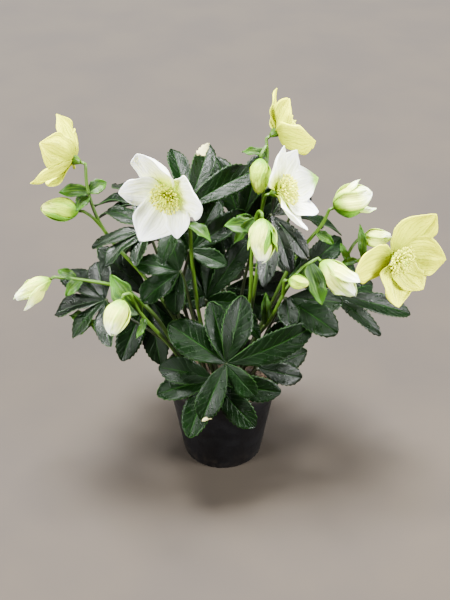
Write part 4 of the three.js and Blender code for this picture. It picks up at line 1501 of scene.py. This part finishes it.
# %% Buds
random.seed(31)
BUD_HEART = [0.05, 0.15, 0.3, 0.45, 0.6, 0.75, 0.88, 0.95]
HEART_BELLY = 0.46
LOOSE_BASE = UP  # a millimetre above the bud's foot
LOOSE_OPENING = (44, 92)
LOOSE_LEAN = -3
GREEN_BUDS = {"bud_left", "bud_small", "bud_behind"}
GREEN_SEPALS = {
    "bud_back_right": [3], "bud_middle": [0], "bud_left": [3, 4], "bud_small": [0, 4],
}
BUD_TURNS = {"bud_back_right": -28}
for name, bud in BUDS.items():
    length, width = bud["length"], bud["width"]
    wrapped = new_sheets()
    for number in range(5):
        middle = 72 * number + random.uniform(-6, 6) + BUD_TURNS.get(name, 0)
        proud = random.uniform(0.93, 1.03)
        green = number in GREEN_SEPALS.get(name, [])
        add_bud_sepal(wrapped, number, middle, proud, length, width, int(green))
    heart = [(length * s, width / 2 * outline(s, HEART_BELLY, 1) * 0.86) for s in BUD_HEART]
    add_turned(wrapped, heart)
    for turn, sepal_length, sepal_width, *green in bud.get("loose", []):
        sepal(
            wrapped, LOOSE_BASE, turn, sepal_length, sepal_width, LOOSE_LEAN, LOOSE_OPENING,
            ruffle=0.8, material=sum(green),
        )
    wrapped.transform(head_place(bud))
    skins = [green_bud if name in GREEN_BUDS else bud_sepal, outer_sepal]
    finish_piece(
        name + "_sepals", wrapped, skins, "white_sepal", name, thickness=SEPAL_THICKNESS
    )
print("bud pieces:", len(BUDS))

# %% [markdown]
# ## Where the flowering stems run
#
# A stem runs from the peat through its points to the flower or bud that it holds, and so does
# each branch. A bract is a small leaf on it, as (place, way, face, length, width).

# %% Stem table
STEMS = {
    "stem_white_left": {
        "foot": (-10, 2), "holds": "bloom_white_left",
        "points": [(-26, 2, 190), (-32, 3, 262), (-33, 0, 292), (-41, -2, 322)],
        "bracts": [((-33, 0, 294), (-40, -14), (-60, 40), 30, 15)],
    },
    "stem_right": {
        "foot": (12, 6), "holds": "bloom_white_right",
        "points": [(30, 8, 180), (38, 12, 255), (40, 18, 300)],
        "branches": [
            ([(39, 15, 280), (43, 42, 322), (46, 60, 346)], "bloom_cream_top"),
            ([(43, 42, 322), (46, 54, 344), (45, 56, 355)], "bud_behind"),
        ],
        "bracts": [
            ((43, 53, 345), (175, 12), (-90, 60), 26, 12),
            ((40, 15, 280), (150, 20), (-110, 50), 30, 16),
        ],
    },
    "stem_left": {
        "foot": (-32, 12), "holds": "bloom_cream_left",
        "points": [
            (-52, 17, 165), (-86, 22, 222), (-117, 26, 262), (-130, 27, 290), (-138, 34, 320),
        ],
        "branches": [([(-125, 27, 276), (-134, 22, 292)], "bud_left")],
        "bracts": [
            ((-137, 33, 316), (30, 20), (-90, 50), 22, 16),
            ((-137, 32, 314), (190, 8), (-90, 50), 30, 17),
            ((-136, 31, 310), (235, -10), (-120, 40), 22, 14),
        ],
    },
    "stem_far_left": {
        "foot": (-38, 2), "holds": "bud_far_left",
        "points": [(-72, -4, 185), (-105, -6, 222), (-142, -6, 232)],
        "branches": [([(-90, -6, 207), (-112, -11, 192), (-140, -16, 186)], None)],
        "bracts": [
            ((-150, -7, 234), (160, 20), (-100, 50), 22, 13),
            ((-146, -6, 233), (215, -25), (-110, 50), 24, 14),
            ((-138, -16, 186), (170, 12), (-110, 60), 26, 13),
            ((-138, -16, 186), (225, -12), (-110, 60), 24, 12),
            ((-134, -15, 187), (285, -8), (-110, 60), 20, 11),
        ],
    },
    "stem_front_left": {
        "foot": (-16, -20), "holds": "bud_front_left",
        "points": [(-40, -31, 140), (-55, -36, 170), (-82, -50, 221), (-92, -52, 247)],
        "bracts": [
            ((-82, -50, 221), (160, 50), (-100, 25), 50, 26),
            ((-80, -49, 217), (-104, -20), (-60, 40), 24, 9),
        ],
    },
    "stem_middle": {
        "foot": (6, -6), "holds": "bud_middle",
        "points": [(20, -5, 150), (29, -5, 207), (30, -4, 256), (32, -4, 298), (36, -9, 316)],
        "bracts": [
            ((32, -6, 306), (-170, -48), (-120, 30), 34, 12),
            ((31, -4, 296), (-170, 10), (-90, 40), 30, 19),
        ],
    },
    "stem_right_front": {
        "foot": (20, -2), "holds": "bud_right",
        "points": [(35, -12, 160), (50, -20, 191), (65, -25, 233), (80, -24, 258)],
        "branches": [([(62, -24, 226), (62, -33, 242)], "bud_small")],
        "bracts": [
            ((88, -22, 264), (-64, -50), (-95, 30), 44, 22),
            ((68, -25, 240), (10, 30), (-100, 50), 30, 18),
            ((46, -18, 184), (100, 80), (-90, 5), 36, 13),
        ],
    },
    "stem_back_right": {
        "foot": (20, 10), "holds": "bud_back_right",
        "points": [(50, 14, 180), (76, 18, 244), (104, 26, 282)],
        "bracts": [((98, 24, 274), (-20, -25), (-90, 50), 22, 12)],
    },
    "stem_far_right": {
        "foot": (32, 2), "holds": "bloom_cream_right",
        "points": [(60, 6, 150), (113, 12, 231), (145, 11, 247), (160, 15, 252)],
        "branches": [([(126, 12, 238), (136, 20, 258)], "bud_behind_right")],
        "bracts": [
            ((146, 11, 248), (150, 80), (-90, 10), 38, 10),
            ((136, 11, 243), (160, 60), (-90, 10), 24, 8),
            ((140, 11, 245), (190, -5), (-90, 60), 20, 9),
        ],
    },
}
print("stems:", len(STEMS), "bracts:", sum(len(stem["bracts"]) for stem in STEMS.values()))

# %% [markdown]
# ## Stems that meet their flowers
#
# The last stretch of a stem is straight and in line with its flower, so that the two meet
# squarely. It ends just behind the receptacle of a flower, or at the foot of a bud.

# %% Stem routes
HOLD_LENGTH = 5
RECEPTACLE_BACK = 7


def hold_points(name):
    head = BLOOMS.get(name) or BUDS[name]
    back = RECEPTACLE_BACK if name in BLOOMS else 0
    end = Vector(head["at"]) - heading(*head["face"]) * (CLEARANCE + back)
    return [end - heading(*head["face"]) * HOLD_LENGTH, end]


def stem_route(points, holds, sections):
    knots = [Vector(point) for point in points]
    if not holds:
        return smooth_route(knots, sections)
    last, end = hold_points(holds)
    return [*smooth_route([*knots, last], sections), end]


print("the straight end of a stem is", HOLD_LENGTH, "mm long")

# %% [markdown]
# ## A bract
#
# A bract is a thin blade without teeth. It is folded along its middle, bows down towards its
# tip and twists a little, and its margin is uneven. It is made like a leaflet, with softer
# numbers and random draws of its own.

# %% Bract shape
BRACT_BELLY = 0.46
BRACT_FULLNESS = 1.15
BRACT_RIPPLE = 1.6
UNEVEN_MARGIN = 0.22
BRACT_COLUMNS = 10
BRACT_ROWS = 18


def bract(bm, root, toward, face, length, width):
    along_way = toward.normalized()
    up = square_to(along_way, face)
    right = along_way.cross(up)
    phase, bow = random.random(), random.uniform(0.04, 0.1)
    fold, twist = math.radians(random.uniform(26, 40)), math.radians(random.uniform(-28, 28))

    def shape(across, s):
        half = width / 2 * outline(s, BRACT_BELLY, BRACT_FULLNESS)
        half *= 1 - 0.35 * ease(s, 0.7, 1.0)
        uneven = noise.noise(Vector((7 * s, math.copysign(5, across), 40 * phase)))
        half *= 1 + UNEVEN_MARGIN * uneven
        ripple = math.sin(math.tau * (1.9 * s + phase) + 1.5 * across)
        lift = half * math.sin(fold) * abs(across) ** 1.2
        rise = (0.3 - 4 * bow * s) * length * s * (1 - s) - 0.1 * length * ease(s, 0.6, 1.0)
        outward = half * math.cos(fold) * 1.05 * across
        upward = lift + BRACT_RIPPLE * across**2 * ripple * ease(s, 0, 0.3)
        turn = twist * s
        middle = root + along_way * (s * length) + up * rise
        return middle + turned(right, up, turn) * outward + turned(up, -right, turn) * upward

    add_sheet(bm, BRACT_COLUMNS, BRACT_ROWS, shape)


print("a bract's margin is uneven by up to", UNEVEN_MARGIN, "of its half width")

# %% [markdown]
# ## The flowering stems and their bracts
#
# A stem and its branches are one piece, and its bracts another. A bract grows from the point of
# the stem's routes that is nearest to its place.

# %% Stems
random.seed(41)
STEM_RADIUS = 2.3
STEM_TOP_RADIUS = 1.6
BRANCH_RADIUS = 1.7
BRACT_THICKNESS = 0.5
for name, stem in STEMS.items():
    start = (*stem["foot"], SOIL_TOP + COLLAR_OF_PEAT)
    rise = stem_route([start, *stem["points"]], stem["holds"], 40)
    routes = [from_soil(stem["foot"], rise)]
    for points, holds in stem.get("branches", []):
        routes.append(stem_route(points, holds, 20))
    stalks = new_sheets()
    for i, route in enumerate(routes):
        add_stalk(stalks, route, BRANCH_RADIUS if i else STEM_RADIUS, STEM_TOP_RADIUS, sides=12)
    finish_piece(name + "_stalks", stalks, [flower_stem], "stem", name)
    leafy = new_sheets()
    joints = [point for route in routes for point in route]
    for place, way, face, length, width in stem["bracts"]:
        wanted = Vector(place)
        root = min(joints, key=lambda joint: (joint - wanted).length)
        bract(leafy, root, heading(*way), heading(*face), length, width)
    finish_piece(name + "_bracts", leafy, [bract_green], "stem", name, thickness=BRACT_THICKNESS)
print("pieces in all:", len(made_pieces))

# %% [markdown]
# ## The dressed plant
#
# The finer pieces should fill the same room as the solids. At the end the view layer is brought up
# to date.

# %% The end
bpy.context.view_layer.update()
